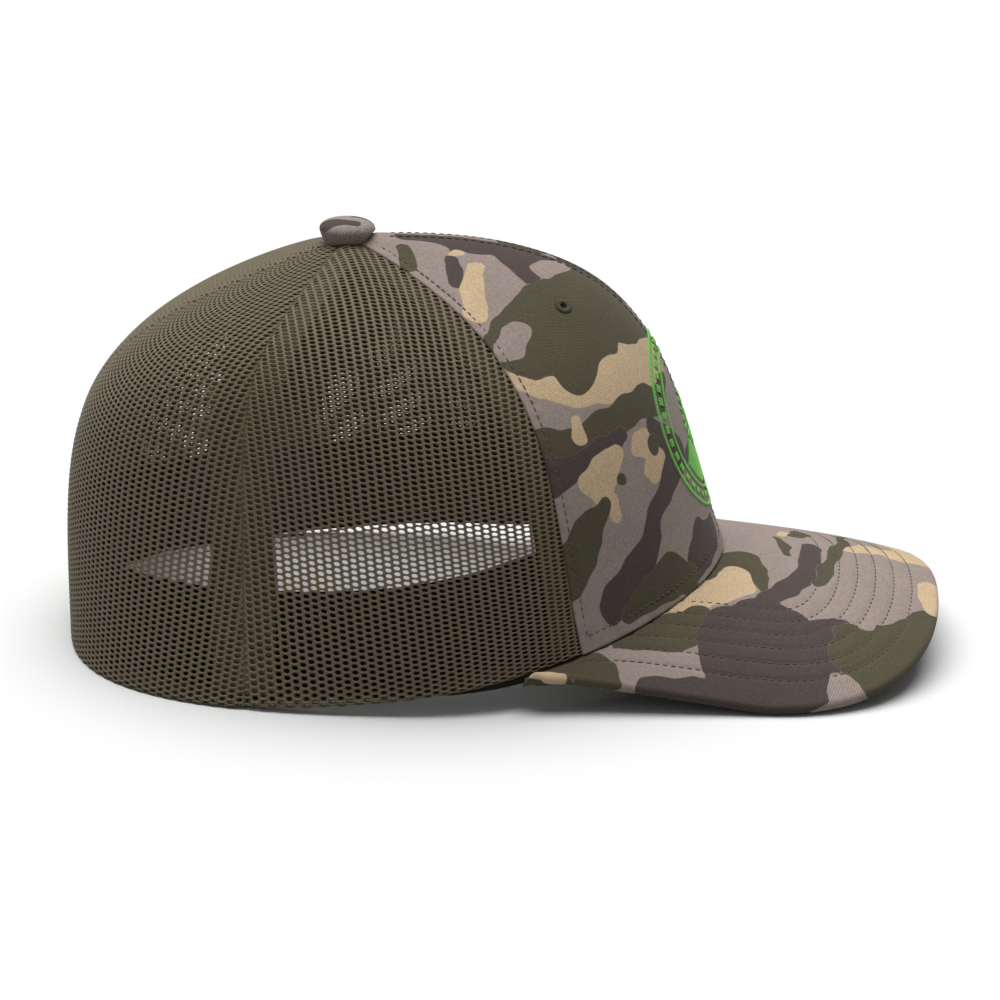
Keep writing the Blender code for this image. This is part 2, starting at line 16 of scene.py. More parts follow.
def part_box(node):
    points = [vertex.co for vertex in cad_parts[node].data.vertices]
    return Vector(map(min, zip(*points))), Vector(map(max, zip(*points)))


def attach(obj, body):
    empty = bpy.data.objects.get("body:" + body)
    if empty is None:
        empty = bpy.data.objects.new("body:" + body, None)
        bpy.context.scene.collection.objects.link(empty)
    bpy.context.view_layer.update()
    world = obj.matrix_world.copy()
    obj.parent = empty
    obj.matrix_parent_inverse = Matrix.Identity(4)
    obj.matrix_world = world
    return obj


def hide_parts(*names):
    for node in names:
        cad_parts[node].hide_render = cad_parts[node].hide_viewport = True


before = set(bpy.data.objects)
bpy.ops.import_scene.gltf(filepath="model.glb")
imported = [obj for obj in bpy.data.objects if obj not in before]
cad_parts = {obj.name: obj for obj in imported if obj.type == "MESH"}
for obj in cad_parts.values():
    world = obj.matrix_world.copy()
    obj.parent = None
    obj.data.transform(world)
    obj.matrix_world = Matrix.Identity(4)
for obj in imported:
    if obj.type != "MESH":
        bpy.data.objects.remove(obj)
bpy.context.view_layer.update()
MM = 0.001

# Crown, outside surface, from the head centre
CROWN_FRONT = 0.1052
CROWN_BACK = 0.1026
CROWN_HALF_WIDTH = 0.0858
FRONT_ROUNDNESS = 1.90        # power of the edge's superellipse: 2 is an ellipse, more is boxier
BACK_ROUNDNESS = 2.72
FRONT_EDGE_LIFT = 0.0285      # height of the edge at the front centre
LIFT_STARTS_Y = 0.070         # the edge lies on the table behind this
LIFT_POWER = 2.09
APEX_Y = 0.0168
APEX_Z = 0.1268
BINDING_OVERHANG = 0.0003
# A meridian is a Bezier from the edge to the apex: azimuth, lean at the edge (degrees), lower
# handle, slope at the apex (degrees), upper handle
MERIDIANS = (
    (0, 22.0, 0.059, -4, 0.107),
    (49, 13.5, 0.049, 10, 0.102),
    (90, 6.0, 0.079, 9, 0.073),
    (118, 16.0, 0.098, 13, 0.088),
    (180, -4.0, 0.0875, 24, 0.088),
)
FRONT_SEAM = 49.4             # azimuths of the seams at the edge and at the apex
BACK_SEAM = 116.8
SEAM_BOWS = {FRONT_SEAM: 2.2, BACK_SEAM: 5.2}     # degrees added half way up

# Visor
VISOR_TIP_Y = -0.1742
VISOR_WIDEST_Y = -0.1142
VISOR_HALF_WIDTH = 0.0790
HORN_X = 0.0815
HORN_Y = -0.0400
VISOR_SIDE_Z = -0.0013        # height of the underside at the widest place
HORN_Z = 0.0130               # of the horns and of the tip above that
TIP_Z = 0.0157
TIP_DROP_POWER = 1.6
TIP_HANDLE = 0.0790           # handles of the rim's two Beziers, tip to widest place to horn
FRONT_CORNER_HANDLE = 0.0110
SIDE_HANDLE = 0.0280
HORN_HANDLE = 0.0150
WIDEST_ACROSS = 0.442
VISOR_CROWN_AZIMUTH = 62.8    # where the horns meet the crown
VISOR_ARCH = 0.0027           # height of the swell between crown and rim
VISOR_UNDER_CROWN = 0.0004
VISOR_ROOT_GAP = 0.0008
VISOR_THICKNESS = 0.0040
VISOR_REACH = 0.985           # across value where the built visor ends

# The head centre lies this far along +Y in the frame
HEAD = np.array((0.0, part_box("bottom_binding")[1].y - CROWN_BACK - BINDING_OVERHANG, 0.0))


# ---------------------------------------------------------------- the crown's surface


def meridian_value(column, azimuth):
    """A smooth curve round the crown through one column of MERIDIANS, mirrored left to right."""
    table = np.array(MERIDIANS, float)
    knots = np.concatenate((-table[:0:-1, 0], table[:, 0], 360 - table[-2:0:-1, 0]))
    values = np.concatenate((table[:0:-1, column], table[:, column], table[-2:0:-1, column]))
    slopes = np.gradient(values, knots)
    turned = np.mod(np.abs(azimuth), 360.0)
    index = np.clip(np.searchsorted(knots, turned, side="right") - 1, 0, len(knots) - 2)
    span = knots[index + 1] - knots[index]
    t = (turned - knots[index]) / span
    start = (1 + 2 * t) * (1 - t) ** 2 * values[index] + t * (1 - t) ** 2 * span * slopes[index]
    end = t * t * (3 - 2 * t) * values[index + 1] + t * t * (t - 1) * span * slopes[index + 1]
    return start + end


def crown_edge(azimuth):
    """The crown's lower edge: a superellipse in plan that lifts off the table towards the front."""
    angle = np.radians(azimuth)
    forward, side = np.cos(angle), np.sin(angle)
    blend = 0.5 + 0.5 * np.tanh(forward / 0.35)
    power = BACK_ROUNDNESS + (FRONT_ROUNDNESS - BACK_ROUNDNESS) * blend
    reach = np.where(forward > 0, CROWN_FRONT, CROWN_BACK)
    radius = (np.abs(forward / reach) ** power + np.abs(side / CROWN_HALF_WIDTH) ** power) ** (-1 / power)
    x, y = radius * side, -radius * forward
    lifted = np.clip((LIFT_STARTS_Y - y) / (LIFT_STARTS_Y + CROWN_FRONT), 0, 1.2)
    return np.stack((x, y, FRONT_EDGE_LIFT * lifted ** LIFT_POWER), axis=-1)


def crown_surface(azimuth, rise):
    """Points on the crown's outside surface."""
    azimuth, rise = np.broadcast_arrays(np.asarray(azimuth, float), np.asarray(rise, float))
    edge = crown_edge(azimuth)
    apex = np.broadcast_to(np.array((0.0, APEX_Y, APEX_Z)), edge.shape)
    inward = (apex - edge) * (1, 1, 0)
    inward = inward / np.linalg.norm(inward, axis=-1, keepdims=True)
    up = np.array((0.0, 0.0, 1.0))
    lean = np.radians(meridian_value(1, azimuth))[..., None]
    lower = meridian_value(2, azimuth)[..., None]
    slope = np.radians(meridian_value(3, azimuth))[..., None]
    upper = meridian_value(4, azimuth)[..., None]
    foot = edge + lower * (inward * np.sin(lean) + up * np.cos(lean))
    head = apex - upper * (inward * np.cos(slope) + up * np.sin(slope))
    t = rise[..., None]
    return (1 - t) ** 3 * edge + 3 * (1 - t) ** 2 * t * foot + 3 * (1 - t) * t * t * head + t ** 3 * apex


def crown_normal(azimuth, rise):
    """Unit normals of the crown, pointing out."""
    turn, climb = 0.5, 0.005
    round_it = crown_surface(azimuth + turn, rise) - crown_surface(azimuth - turn, rise)
    up_it = crown_surface(azimuth, rise + climb) - crown_surface(azimuth, rise - climb)
    return unit(np.cross(round_it, up_it))


def crown_layer(azimuth, rise, depth):
    """Points at a depth under the crown's outside surface."""
    azimuth, rise = np.broadcast_arrays(np.asarray(azimuth, float), np.asarray(rise, float))
    return crown_surface(azimuth, rise) - np.asarray(depth)[..., None] * crown_normal(azimuth, rise)


def solve_rise(azimuth, reached):
    """The rise at which reached(point) first turns true, found by halving the interval."""
    low = np.zeros_like(azimuth)
    high = np.ones_like(azimuth)
    for _ in range(30):
        middle = (low + high) / 2
        over = reached(crown_surface(azimuth, middle))
        high = np.where(over, middle, high)
        low = np.where(over, low, middle)
    return high


def rise_at_height(azimuth, height):
    """The rise where the crown is a height above its own edge."""
    edge_z = crown_edge(azimuth)[..., 2]
    return solve_rise(azimuth, lambda point: point[..., 2] > edge_z + height)


def rise_at_radius(azimuth, radius):
    """The rise where the crown is a level distance from the apex's vertical line."""
    return solve_rise(azimuth, lambda point: np.hypot(point[..., 0], point[..., 1] - APEX_Y) < radius)


def level_radius(azimuth, rise):
    point = crown_surface(azimuth, rise)
    return np.hypot(point[..., 0], point[..., 1] - APEX_Y)


def seam_azimuth(seam, rise):
    """The azimuth of a bowed seam at a rise. Seams on the wearer's right are mirrored."""
    return seam + math.copysign(SEAM_BOWS.get(abs(seam), 0), seam) * 4 * rise * (1 - rise)


def crown_at(x, z):
    """Azimuth and rise of the front crown points with given x and height."""
    azimuth = np.zeros_like(x)
    rise = np.full_like(x, 0.4)
    for _ in range(14):
        here = crown_surface(azimuth, rise)
        by_azimuth = (crown_surface(azimuth + 0.5, rise) - here) / 0.5
        by_rise = (crown_surface(azimuth, rise + 0.005) - here) / 0.005
        miss_x, miss_z = x - here[..., 0], z - here[..., 2]
        spread = by_azimuth[..., 0] * by_rise[..., 2] - by_rise[..., 0] * by_azimuth[..., 2]
        azimuth = azimuth + (miss_x * by_rise[..., 2] - miss_z * by_rise[..., 0]) / spread
        rise = rise + (miss_z * by_azimuth[..., 0] - miss_x * by_azimuth[..., 2]) / spread
    return azimuth, rise


# ---------------------------------------------------------------- the visor's surface


def bezier(first, second, third, fourth, t):
    rest = 1 - t
    return rest ** 3 * first + 3 * rest * rest * t * second + 3 * rest * t * t * third + t ** 3 * fourth


def visor_rim(across):
    """Underside of the visor's outer edge, from horn (-1) over the tip (0) to horn (1)."""
    share = np.abs(across)
    front = np.clip(share / WIDEST_ACROSS, 0, 1)
    back = np.clip((share - WIDEST_ACROSS) / (1 - WIDEST_ACROSS), 0, 1)
    ahead = share < WIDEST_ACROSS
    front_x = bezier(0, TIP_HANDLE, VISOR_HALF_WIDTH, VISOR_HALF_WIDTH, front)
    front_y = bezier(VISOR_TIP_Y, VISOR_TIP_Y, VISOR_WIDEST_Y - FRONT_CORNER_HANDLE, VISOR_WIDEST_Y, front)
    back_x = bezier(VISOR_HALF_WIDTH, VISOR_HALF_WIDTH, HORN_X, HORN_X, back)
    back_y = bezier(VISOR_WIDEST_Y, VISOR_WIDEST_Y + SIDE_HANDLE, HORN_Y - HORN_HANDLE, HORN_Y, back)
    x = np.where(ahead, front_x, back_x)
    drop = np.clip(x / VISOR_HALF_WIDTH, 0, 1) ** TIP_DROP_POWER
    z = VISOR_SIDE_Z + np.where(ahead, TIP_Z * (1 - drop), HORN_Z * back)
    return np.stack((x * np.sign(across), np.where(ahead, front_y, back_y), z), axis=-1)


def visor_top(across, out):
    """Points on the visor's top surface."""
    across, out = np.broadcast_arrays(np.asarray(across, float), np.asarray(out, float))
    up = np.array((0.0, 0.0, 1.0))
    edge = crown_edge(across * VISOR_CROWN_AZIMUTH)
    away = edge * (1, 1, 0) / np.linalg.norm(edge[..., :2], axis=-1, keepdims=True)
    root = edge + away * VISOR_ROOT_GAP - VISOR_UNDER_CROWN * up
    rim = visor_rim(across) + VISOR_THICKNESS * up
    arch = 4 * VISOR_ARCH * out * (1 - out) * (1 - across ** 2)
    return root + (rim - root) * out[..., None] + arch[..., None] * up


def visor_normal(across, out):
    """Unit normals of the visor's top, pointing up."""
    step_across, step_out = 0.01, 0.02
    along = visor_top(across + step_across, out) - visor_top(across - step_across, out)
    outward = visor_top(across, out + step_out) - visor_top(across, out - step_out)
    return unit(np.cross(outward, along))


# ---------------------------------------------------------------- small helpers

RIPPLE_WAVES = 7


def unit(vectors):
    return vectors / np.maximum(np.linalg.norm(vectors, axis=-1, keepdims=True), 1e-12)


def run_length(points):
    """Distance along a polyline at each of its points."""
    steps = np.linalg.norm(np.diff(points, axis=0), axis=-1)
    return np.concatenate(((0,), np.cumsum(steps)))


def ripple(points, wavelength, seed):
    """A smooth random field over points in space, about -1 to 1."""
    draw = np.random.default_rng(seed)
    total = np.zeros(points.shape[:-1])
    for _ in range(RIPPLE_WAVES):
        direction = unit(draw.normal(size=3))
        length = wavelength * draw.uniform(0.7, 1.5)
        total += np.sin(points @ direction * 2 * math.pi / length + draw.uniform(0, 2 * math.pi))
    return total / math.sqrt(RIPPLE_WAVES / 2) * 0.6


def near(distance, width):
    """A smooth bump, 1 at distance 0 and small past the width."""
    return np.exp(-(distance / width) ** 2)


def grid_faces(rows, columns, closed=False):
    """Quads over a grid whose points are numbered row by row."""
    steps = columns if closed else columns - 1
    row, column = np.meshgrid(np.arange(rows - 1), np.arange(steps), indexing="ij")
    beside = (column + 1) % columns
    quads = np.stack((row * columns + column, row * columns + beside,
                      (row + 1) * columns + beside, (row + 1) * columns + column), axis=-1)
    return quads.reshape(-1, 4)


def add_piece(name, points, faces, look, stands_for=(), body="cap", uv=None, fields=None):
    """One visible piece: a smooth mesh that rides on a body."""
    mesh = bpy.data.meshes.new(name)
    faces = faces if isinstance(faces, list) else faces.tolist()
    mesh.from_pydata((points.reshape(-1, 3) + HEAD).tolist(), [], faces)
    mesh.polygons.foreach_set("use_smooth", np.ones(len(mesh.polygons), bool))
    loops = np.empty(len(mesh.loops), np.int32)
    mesh.loops.foreach_get("vertex_index", loops)
    if uv is not None:
        layer = mesh.uv_layers.new(name="cloth")
        layer.data.foreach_set("uv", uv.reshape(-1, 2)[loops].astype(np.float32).ravel())
    for key, values in (fields or {}).items():
        attribute = mesh.attributes.new(key, "FLOAT", "POINT")
        attribute.data.foreach_set("value", values.astype(np.float32).ravel())
    mesh.materials.append(look)
    mesh.update()
    piece = bpy.data.objects.new(name, mesh)
    bpy.context.scene.collection.objects.link(piece)
    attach(piece, body)
    if stands_for:
        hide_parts(*stands_for)
    return piece


def thicken(piece, thickness):
    """Give a sheet its thickness, away from its face side."""
    solid = piece.modifiers.new("thickness", "SOLIDIFY")
    solid.thickness = thickness
    solid.offset = -1
    solid.use_even_offset = False


def grid_uv(points):
    """Cloth coordinates in metres for a grid of points [row, column]."""
    rows, columns = points.shape[:2]
    middle = points[rows // 3]
    u = run_length(middle)
    v = run_length(points[:, columns // 2])
    return np.stack(np.meshgrid(u, v), axis=-1)


# ---------------------------------------------------------------- camouflage

WAVES = ((21 * MM, 1.2 * MM, 40), (8 * MM, 0.45 * MM, 50))    # of the patches' edges: length, size, seed
LINK_BLEND = 2 * MM           # how softly the links of a stroke run together
BARE = -20 * MM               # a colour's field where no stroke comes near
PRINT_SOFTNESS = 0.14 * MM    # to each side of a patch's edge
STREWN_COLOURS = ("tan", "olive", "brown", "olive", "taupe")
STREWN_SIZES = {"tan": 4.5, "olive": 6.5, "brown": 5.5, "taupe": 3.6}      # mm


def paint(points, strokes, locate):
    """Fields for the camouflage colours over points: a field is above zero inside its colour.

    A stroke is a colour and a chain of (first, second, radius in mm), where locate turns the
    first two into a point of the surface. Later strokes cover earlier ones.
    """
    flat = points.reshape(-1, 3)
    moved = flat
    for wavelength, size, seed in WAVES:
        moved = moved + np.stack([ripple(flat, wavelength, seed + axis) for axis in range(3)], axis=-1) * size
    fields = {key: np.full(len(flat), BARE) for key in ("tan", "olive", "brown")}
    for colour, chain in strokes:
        nodes = np.array([locate(first, second) for first, second, _ in chain])
        radii = np.array([radius * MM for _, _, radius in chain])
        inside = np.full(len(flat), 2.5 * BARE)
        if len(nodes) == 1:
            inside = radii[0] - np.linalg.norm(moved - nodes[0], axis=-1)
        for start, end, first, last in zip(nodes, nodes[1:], radii, radii[1:]):
            along = end - start
            share = np.clip((moved - start) @ along / (along @ along), 0, 1)
            reach = np.linalg.norm(moved - start - share[:, None] * along, axis=-1)
            value = first + (last - first) * share - reach
            blend = np.clip(0.5 + 0.5 * (value - inside) / LINK_BLEND, 0, 1)
            inside = inside + (value - inside) * blend + LINK_BLEND * blend * (1 - blend)
        for key in fields:
            if key == colour:
                fields[key] = np.maximum(fields[key], inside)
            else:
                fields[key] = np.minimum(fields[key], -inside)
    return fields


def random_strokes(seed, count, first_range, second_range, stretch):
    """Camouflage strokes strewn over a region, for the parts of the cap away from the near side.

    The ranges are those of the surface's two coordinates, and stretch is how much of each makes 1 mm.
    """
    draw = np.random.default_rng(seed)
    strokes = []
    for index in range(count):
        colour = STREWN_COLOURS[index % len(STREWN_COLOURS)]
        size = STREWN_SIZES[colour] * draw.uniform(0.6, 1.35)
        at = np.array((draw.uniform(*first_range), draw.uniform(*second_range)))
        heading = draw.uniform(-0.7, 0.7) + (math.pi if draw.uniform() < 0.5 else 0)
        chain = []
        for _ in range(draw.integers(3, 6)):
            chain.append((at[0], at[1], size * draw.uniform(0.55, 1.1)))
            heading += draw.uniform(-0.9, 0.9)
            at = at + np.array((math.cos(heading) * stretch[0], math.sin(heading) * stretch[1])) * size
        strokes.append((colour, chain))
    return strokes


# The first two numbers of a link are azimuth and rise on the front panel, across and out on the
# visor, and on the button mm ahead of its centre and mm to the wearer's left
FRONT_STROKES = (
    ("brown", ((-4, 0.93, 4), (-5, 0.84, 6), (-4, 0.76, 6), (-2, 0.70, 3.5))),
    ("brown", ((-9, 0.80, 5), (-18, 0.745, 4.5), (-22, 0.72, 4))),
    ("brown", ((-12, 0.87, 2.5), (-26, 0.865, 2.4), (-36, 0.84, 3))),
    ("olive", ((-32, 0.93, 2.2), (-44, 0.905, 2.6))),
    ("tan", ((-17, 0.865, 2.3), (-20, 0.87, 1.5))),
    ("tan", ((-25, 0.835, 2.2), (-36, 0.815, 3.2), (-46, 0.775, 3.8))),
    ("tan", ((-50, 0.635, 4.4), (-43, 0.60, 5.8), (-37, 0.555, 7.4), (-29, 0.515, 8.4), (-19, 0.485, 8.8),
             (-7, 0.45, 8))),
    ("olive", ((-49, 0.705, 5), (-40, 0.71, 8), (-30, 0.70, 11), (-19, 0.655, 14), (-8, 0.60, 15.5),
               (2, 0.545, 14))),
    ("olive", ((-48, 0.66, 4), (-42, 0.635, 4.4), (-35, 0.63, 7))),
    ("olive", ((-27, 0.63, 13), (-33, 0.585, 8), (-35.5, 0.56, 3.4))),
    ("taupe", ((-13, 0.74, 3.4), (-5, 0.72, 3.4))),
    ("taupe", ((-48, 0.69, 4), (-43, 0.695, 4.8), (-38.5, 0.705, 4.2))),
    ("taupe", ((-47, 0.53, 5), (-38, 0.485, 2.6), (-30, 0.465, 1.8))),
    ("olive", ((-8, 0.39, 2), (-14, 0.385, 4), (-21, 0.41, 5.6), (-28, 0.43, 4.6), (-35, 0.44, 4.6),
               (-43, 0.437, 6.2), (-51, 0.455, 7))),
    ("brown", ((-31, 0.405, 3), (-37, 0.397, 4.6), (-44, 0.375, 6.4), (-51, 0.39, 6))),
    ("tan", ((-40.5, 0.49, 2.6), (-41.5, 0.455, 3))),
    ("taupe", ((-51, 0.315, 3.6), (-45, 0.335, 3.4))),
    ("tan", ((-34, 0.375, 4), (-38, 0.36, 6), (-41.5, 0.335, 5.4), (-40.5, 0.305, 3.8), (-38, 0.28, 3),
             (-36.5, 0.245, 2.4))),
    ("olive", ((-33.5, 0.318, 2.7),)),
    ("tan", ((-27, 0.35, 3.8), (-24, 0.335, 4.2))),
    ("tan", ((-25, 0.285, 4.4), (-22, 0.28, 4.6))),
    ("brown", ((-20.5, 0.35, 3.4), (-17, 0.305, 4.8), (-14, 0.25, 6.5), (-21, 0.228, 4), (-26.5, 0.195, 3.8),
               (-29.5, 0.155, 4.6), (-34, 0.115, 7.2), (-40, 0.09, 6), (-42.5, 0.07, 4.2))),
    ("brown", ((-8, 0.215, 4), (-2, 0.225, 4.6))),
    ("olive", ((-22, 0.315, 3.2),)),
    ("olive", ((-40.5, 0.28, 3.4), (-44.5, 0.245, 5.6), (-47.5, 0.205, 6.2), (-50, 0.14, 4.6))),
    ("brown", ((-7, 0.05, 5), (-13, 0.055, 7), (-18, 0.05, 5.6))),
    ("olive", ((-38, 0.045, 3.6), (-32, 0.055, 5.4), (-26, 0.06, 6.4), (-21, 0.03, 5))),
)
VISOR_STROKES = (
    ("olive", ((-0.21, 0.02, 5), (-0.13, 0.01, 6), (-0.10, 0.075, 6), (-0.115, 0.15, 4.6), (-0.15, 0.20, 3.4),
               (-0.18, 0.235, 2.4))),
    ("tan", ((-0.165, 0.10, 4.4), (-0.22, 0.105, 5.4), (-0.28, 0.085, 5.6), (-0.36, 0.035, 5),
             (-0.42, 0.01, 3.6))),
    ("olive", ((-0.40, 0.16, 6.2), (-0.48, 0.20, 7.8), (-0.55, 0.18, 7.4), (-0.62, 0.12, 5),
               (-0.66, 0.05, 3.6))),
    ("brown", ((-0.33, 0.31, 8), (-0.38, 0.46, 10), (-0.42, 0.63, 11), (-0.42, 0.83, 12), (-0.46, 0.98, 9),
               (-0.58, 0.97, 6), (-0.68, 0.98, 4))),
    ("brown", ((-0.25, 0.33, 7.6), (-0.25, 0.50, 10), (-0.24, 0.66, 10), (-0.275, 0.80, 11),
               (-0.33, 0.92, 11))),
    ("brown", ((-0.33, 0.60, 8), (-0.20, 0.62, 7), (-0.165, 0.645, 5.4))),
    ("brown", ((-0.36, 0.80, 9), (-0.30, 0.76, 8))),
    ("brown", ((-0.205, 0.28, 4.4), (-0.145, 0.34, 3.4), (-0.09, 0.37, 3), (-0.04, 0.39, 3.2),
               (0.01, 0.41, 3.6))),
    ("tan", ((0.02, 0.60, 4.4), (0.035, 0.72, 5.4), (0.03, 0.84, 7), (0.035, 0.95, 8), (0.12, 1.0, 9),
             (0.13, 0.85, 7))),
    ("olive", ((-0.085, 0.44, 2.4), (-0.05, 0.475, 2.6), (0.0, 0.53, 2.4), (0.06, 0.60, 2.2),
               (0.10, 0.68, 1.8))),
    ("olive", ((0.045, 0.245, 1.6), (0.0, 0.275, 1.8), (-0.03, 0.29, 1.5))),
    ("tan", ((0.06, 0.31, 2.2), (0.09, 0.33, 2))),
    ("olive", ((0.06, 0.38, 2.8), (0.10, 0.42, 2.8))),
    ("olive", ((-0.165, 0.72, 6), (-0.15, 0.85, 9), (-0.12, 0.95, 9), (-0.07, 1.0, 7.4), (-0.045, 1.03, 4))),
    ("olive", ((-0.19, 0.80, 9), (-0.185, 0.93, 12), (-0.20, 1.02, 9))),
    ("taupe", ((-0.115, 0.69, 3), (-0.135, 0.735, 3))),
    ("tan", ((-0.02, 0.935, 3.2), (-0.04, 0.95, 3.6), (-0.055, 0.965, 2.8))),
    ("taupe", ((-0.25, 0.88, 3.6), (-0.265, 0.97, 5.6), (-0.27, 1.05, 6.2), (-0.33, 1.06, 3))),
    ("olive", ((-0.775, 1.0, 5), (-0.785, 0.6, 6), (-0.80, 0.2, 6), (-0.88, 0.5, 5), (-0.97, 0.5, 5))),
    ("tan", ((-0.87, 0.93, 2.2), (-0.905, 1.05, 2), (-0.95, 1.0, 1.8), (-1.0, 0.9, 2.4))),
)
BUTTON_STROKES = (
    ("brown", ((-8.6, -2.0, 2.6), (-3.5, -4.0, 3.4), (1.5, -5.0, 2.6))),
    ("brown", ((3.0, 3.5, 3.0), (7.5, 1.0, 2.4))),
    ("olive", ((-4.0, 5.5, 2.2), (-1.0, 6.5, 2.0))),
)


# ---------------------------------------------------------------- materials


def srgb(red, green, blue):
    """A linear colour from 0-255 display values."""
    channels = np.array((red, green, blue)) / 255
    linear = np.where(channels <= 0.04045, channels / 12.92, ((channels + 0.055) / 1.055) ** 2.4)
    return (*linear.tolist(), 1.0)


TAN = srgb(208, 182, 146)
TAUPE = srgb(158, 143, 135)
OLIVE = srgb(84, 78, 58)
BROWN = srgb(80, 69, 65)
THREAD = srgb(92, 82, 70)
NET = srgb(112, 101, 79)
TAPE = srgb(116, 106, 82)
BAND = srgb(38, 32, 28)
LINING = srgb(74, 75, 55)
GREEN = srgb(140, 222, 104)
BUCKRAM = srgb(205, 200, 188)
BOARD = srgb(222, 220, 212)


class Nodes:
    """A Principled material being put together."""

    def __init__(self, name):
        self.material = bpy.data.materials.new(name)
        self.material.use_nodes = True
        self.tree = self.material.node_tree
        self.shader = self.tree.nodes["Principled BSDF"]

    def add(self, kind, **settings):
        node = self.tree.nodes.new(kind)
        for key, value in settings.items():
            setattr(node, key, value)
        return node

    def link(self, source, target):
        self.tree.links.new(source, target)

    def value(self, target, source):
        """Feed a socket from another socket, or set it to a plain value."""
        if isinstance(source, bpy.types.NodeSocket):
            self.link(source, target)
        else:
            target.default_value = source

    def math(self, operation, first, second):
        node = self.add("ShaderNodeMath", operation=operation)
        self.value(node.inputs[0], first)
        self.value(node.inputs[1], second)
        return node.outputs[0]

    def mix(self, share, first, second, blend="MIX"):
        """Two colours mixed, or multiplied."""
        node = self.add("ShaderNodeMix", data_type="RGBA", blend_type=blend)
        self.value(node.inputs[0], share)
        self.value(node.inputs[6], first)
        self.value(node.inputs[7], second)
        return node.outputs[2]

    def noise(self, size, detail=2.0, roughness=0.5):
        """Noise with features of a given size in metres, 0 to 1."""
        node = self.add("ShaderNodeTexNoise")
        node.inputs["Scale"].default_value = 1 / size
        node.inputs["Detail"].default_value = detail
        node.inputs["Roughness"].default_value = roughness
        self.link(self.add("ShaderNodeTexCoord").outputs["Object"], node.inputs["Vector"])
        return node.outputs["Fac"]

    def cloth(self, turn):
        """Cloth coordinates in metres, turned by an angle in degrees."""
        uv = self.add("ShaderNodeUVMap", uv_map="cloth").outputs[0]
        node = self.add("ShaderNodeMapping")
        self.link(uv, node.inputs["Vector"])
        node.inputs["Rotation"].default_value = (0, 0, math.radians(turn))
        return node.outputs[0]

    def ribs(self, pitch, source, distortion):
        """Even ribs across the first coordinate, 0 to 1."""
        node = self.add("ShaderNodeTexWave", wave_type="BANDS", bands_direction="X")
        node.inputs["Scale"].default_value = math.pi / 10 / pitch
        node.inputs["Distortion"].default_value = distortion
        node.inputs["Detail"].default_value = 1.0
        node.inputs["Detail Scale"].default_value = 2.0
        self.link(source, node.inputs["Vector"])
        return node.outputs["Fac"]

    def remap(self, source, low, high, to_low=0.0, to_high=1.0):
        """A number moved from one range to another."""
        node = self.add("ShaderNodeMapRange")
        self.value(node.inputs[0], source)
        for index, number in enumerate((low, high, to_low, to_high), start=1):
            node.inputs[index].default_value = number
        return node.outputs[0]

    def shade(self, colour, amount, low, high):
        """A colour made darker and lighter by an amount from 0 to 1."""
        factor = self.remap(amount, 0.0, 1.0, low, high)
        grey = self.add("ShaderNodeCombineColor")
        for socket in grey.inputs[:3]:
            self.link(factor, socket)
        return self.mix(1.0, colour, grey.outputs[0], "MULTIPLY")

    def bump(self, height, distance, below=None):
        node = self.add("ShaderNodeBump")
        node.inputs["Distance"].default_value = distance
        node.inputs["Strength"].default_value = 1.0
        self.link(height, node.inputs["Height"])
        if below is not None:
            self.link(below, node.inputs["Normal"])
        return node.outputs[0]

    def finish(self, colour, roughness, normal=None, sheen=0.0, metallic=0.0):
        """Set the shader's inputs and return the material."""
        self.value(self.shader.inputs["Base Color"], colour)
        self.value(self.shader.inputs["Roughness"], roughness)
        self.shader.inputs["Metallic"].default_value = metallic
        self.shader.inputs["Sheen Weight"].default_value = sheen
        self.shader.inputs["Sheen Roughness"].default_value = 0.5
        self.shader.inputs["Specular IOR Level"].default_value = 0.25 if not metallic else 0.5
        if normal is not None:
            self.link(normal, self.shader.inputs["Normal"])
        return self.material


def camo_material(name):
    """Printed twill: crisp camouflage patches, diagonal weave, faint fibres."""
    made = Nodes(name)
    colour = TAUPE
    for key, tone in (("tan", TAN), ("olive", OLIVE), ("brown", BROWN)):
        field = made.add("ShaderNodeAttribute", attribute_name=key).outputs["Fac"]
        inside = made.remap(field, -PRINT_SOFTNESS, PRINT_SOFTNESS)
        colour = made.mix(inside, colour, tone)
    weave = made.ribs(0.62 * MM, made.cloth(-38), 0.6)
    cross = made.ribs(0.44 * MM, made.cloth(52), 0.8)
    speckle = made.noise(0.9 * MM, 4.0, roughness=0.7)
    blotch = made.noise(9 * MM, 3.0)
    colour = made.shade(colour, weave, 0.80, 1.10)
    colour = made.shade(colour, cross, 0.95, 1.03)
    colour = made.shade(colour, speckle, 0.55, 1.45)
    colour = made.shade(colour, blotch, 0.92, 1.08)
    height = made.math("ADD", made.math("MULTIPLY", weave, 0.7), made.math("MULTIPLY", cross, 0.3))
    normal = made.bump(height, 0.06 * MM, made.bump(speckle, 0.05 * MM))
    return made.finish(colour, 0.88, normal, sheen=0.12)


def plain_cloth(name, tone, pitch=0.6 * MM, turn=-38, rough=0.9, depth=0.06 * MM, low=0.8, high=1.1):
    """A plain-coloured ribbed cloth."""
    made = Nodes(name)
    ribs = made.ribs(pitch, made.cloth(turn), 0.5)
    speckle = made.noise(0.6 * MM, 3.0)
    blotch = made.noise(14 * MM, 3.0)
    colour = made.shade(tone, ribs, low, high)
    colour = made.shade(colour, speckle, 0.82, 1.18)
    colour = made.shade(colour, blotch, 0.9, 1.1)
    normal = made.bump(ribs, depth, made.bump(speckle, 0.05 * MM))
    return made.finish(colour, rough, normal, sheen=0.1)


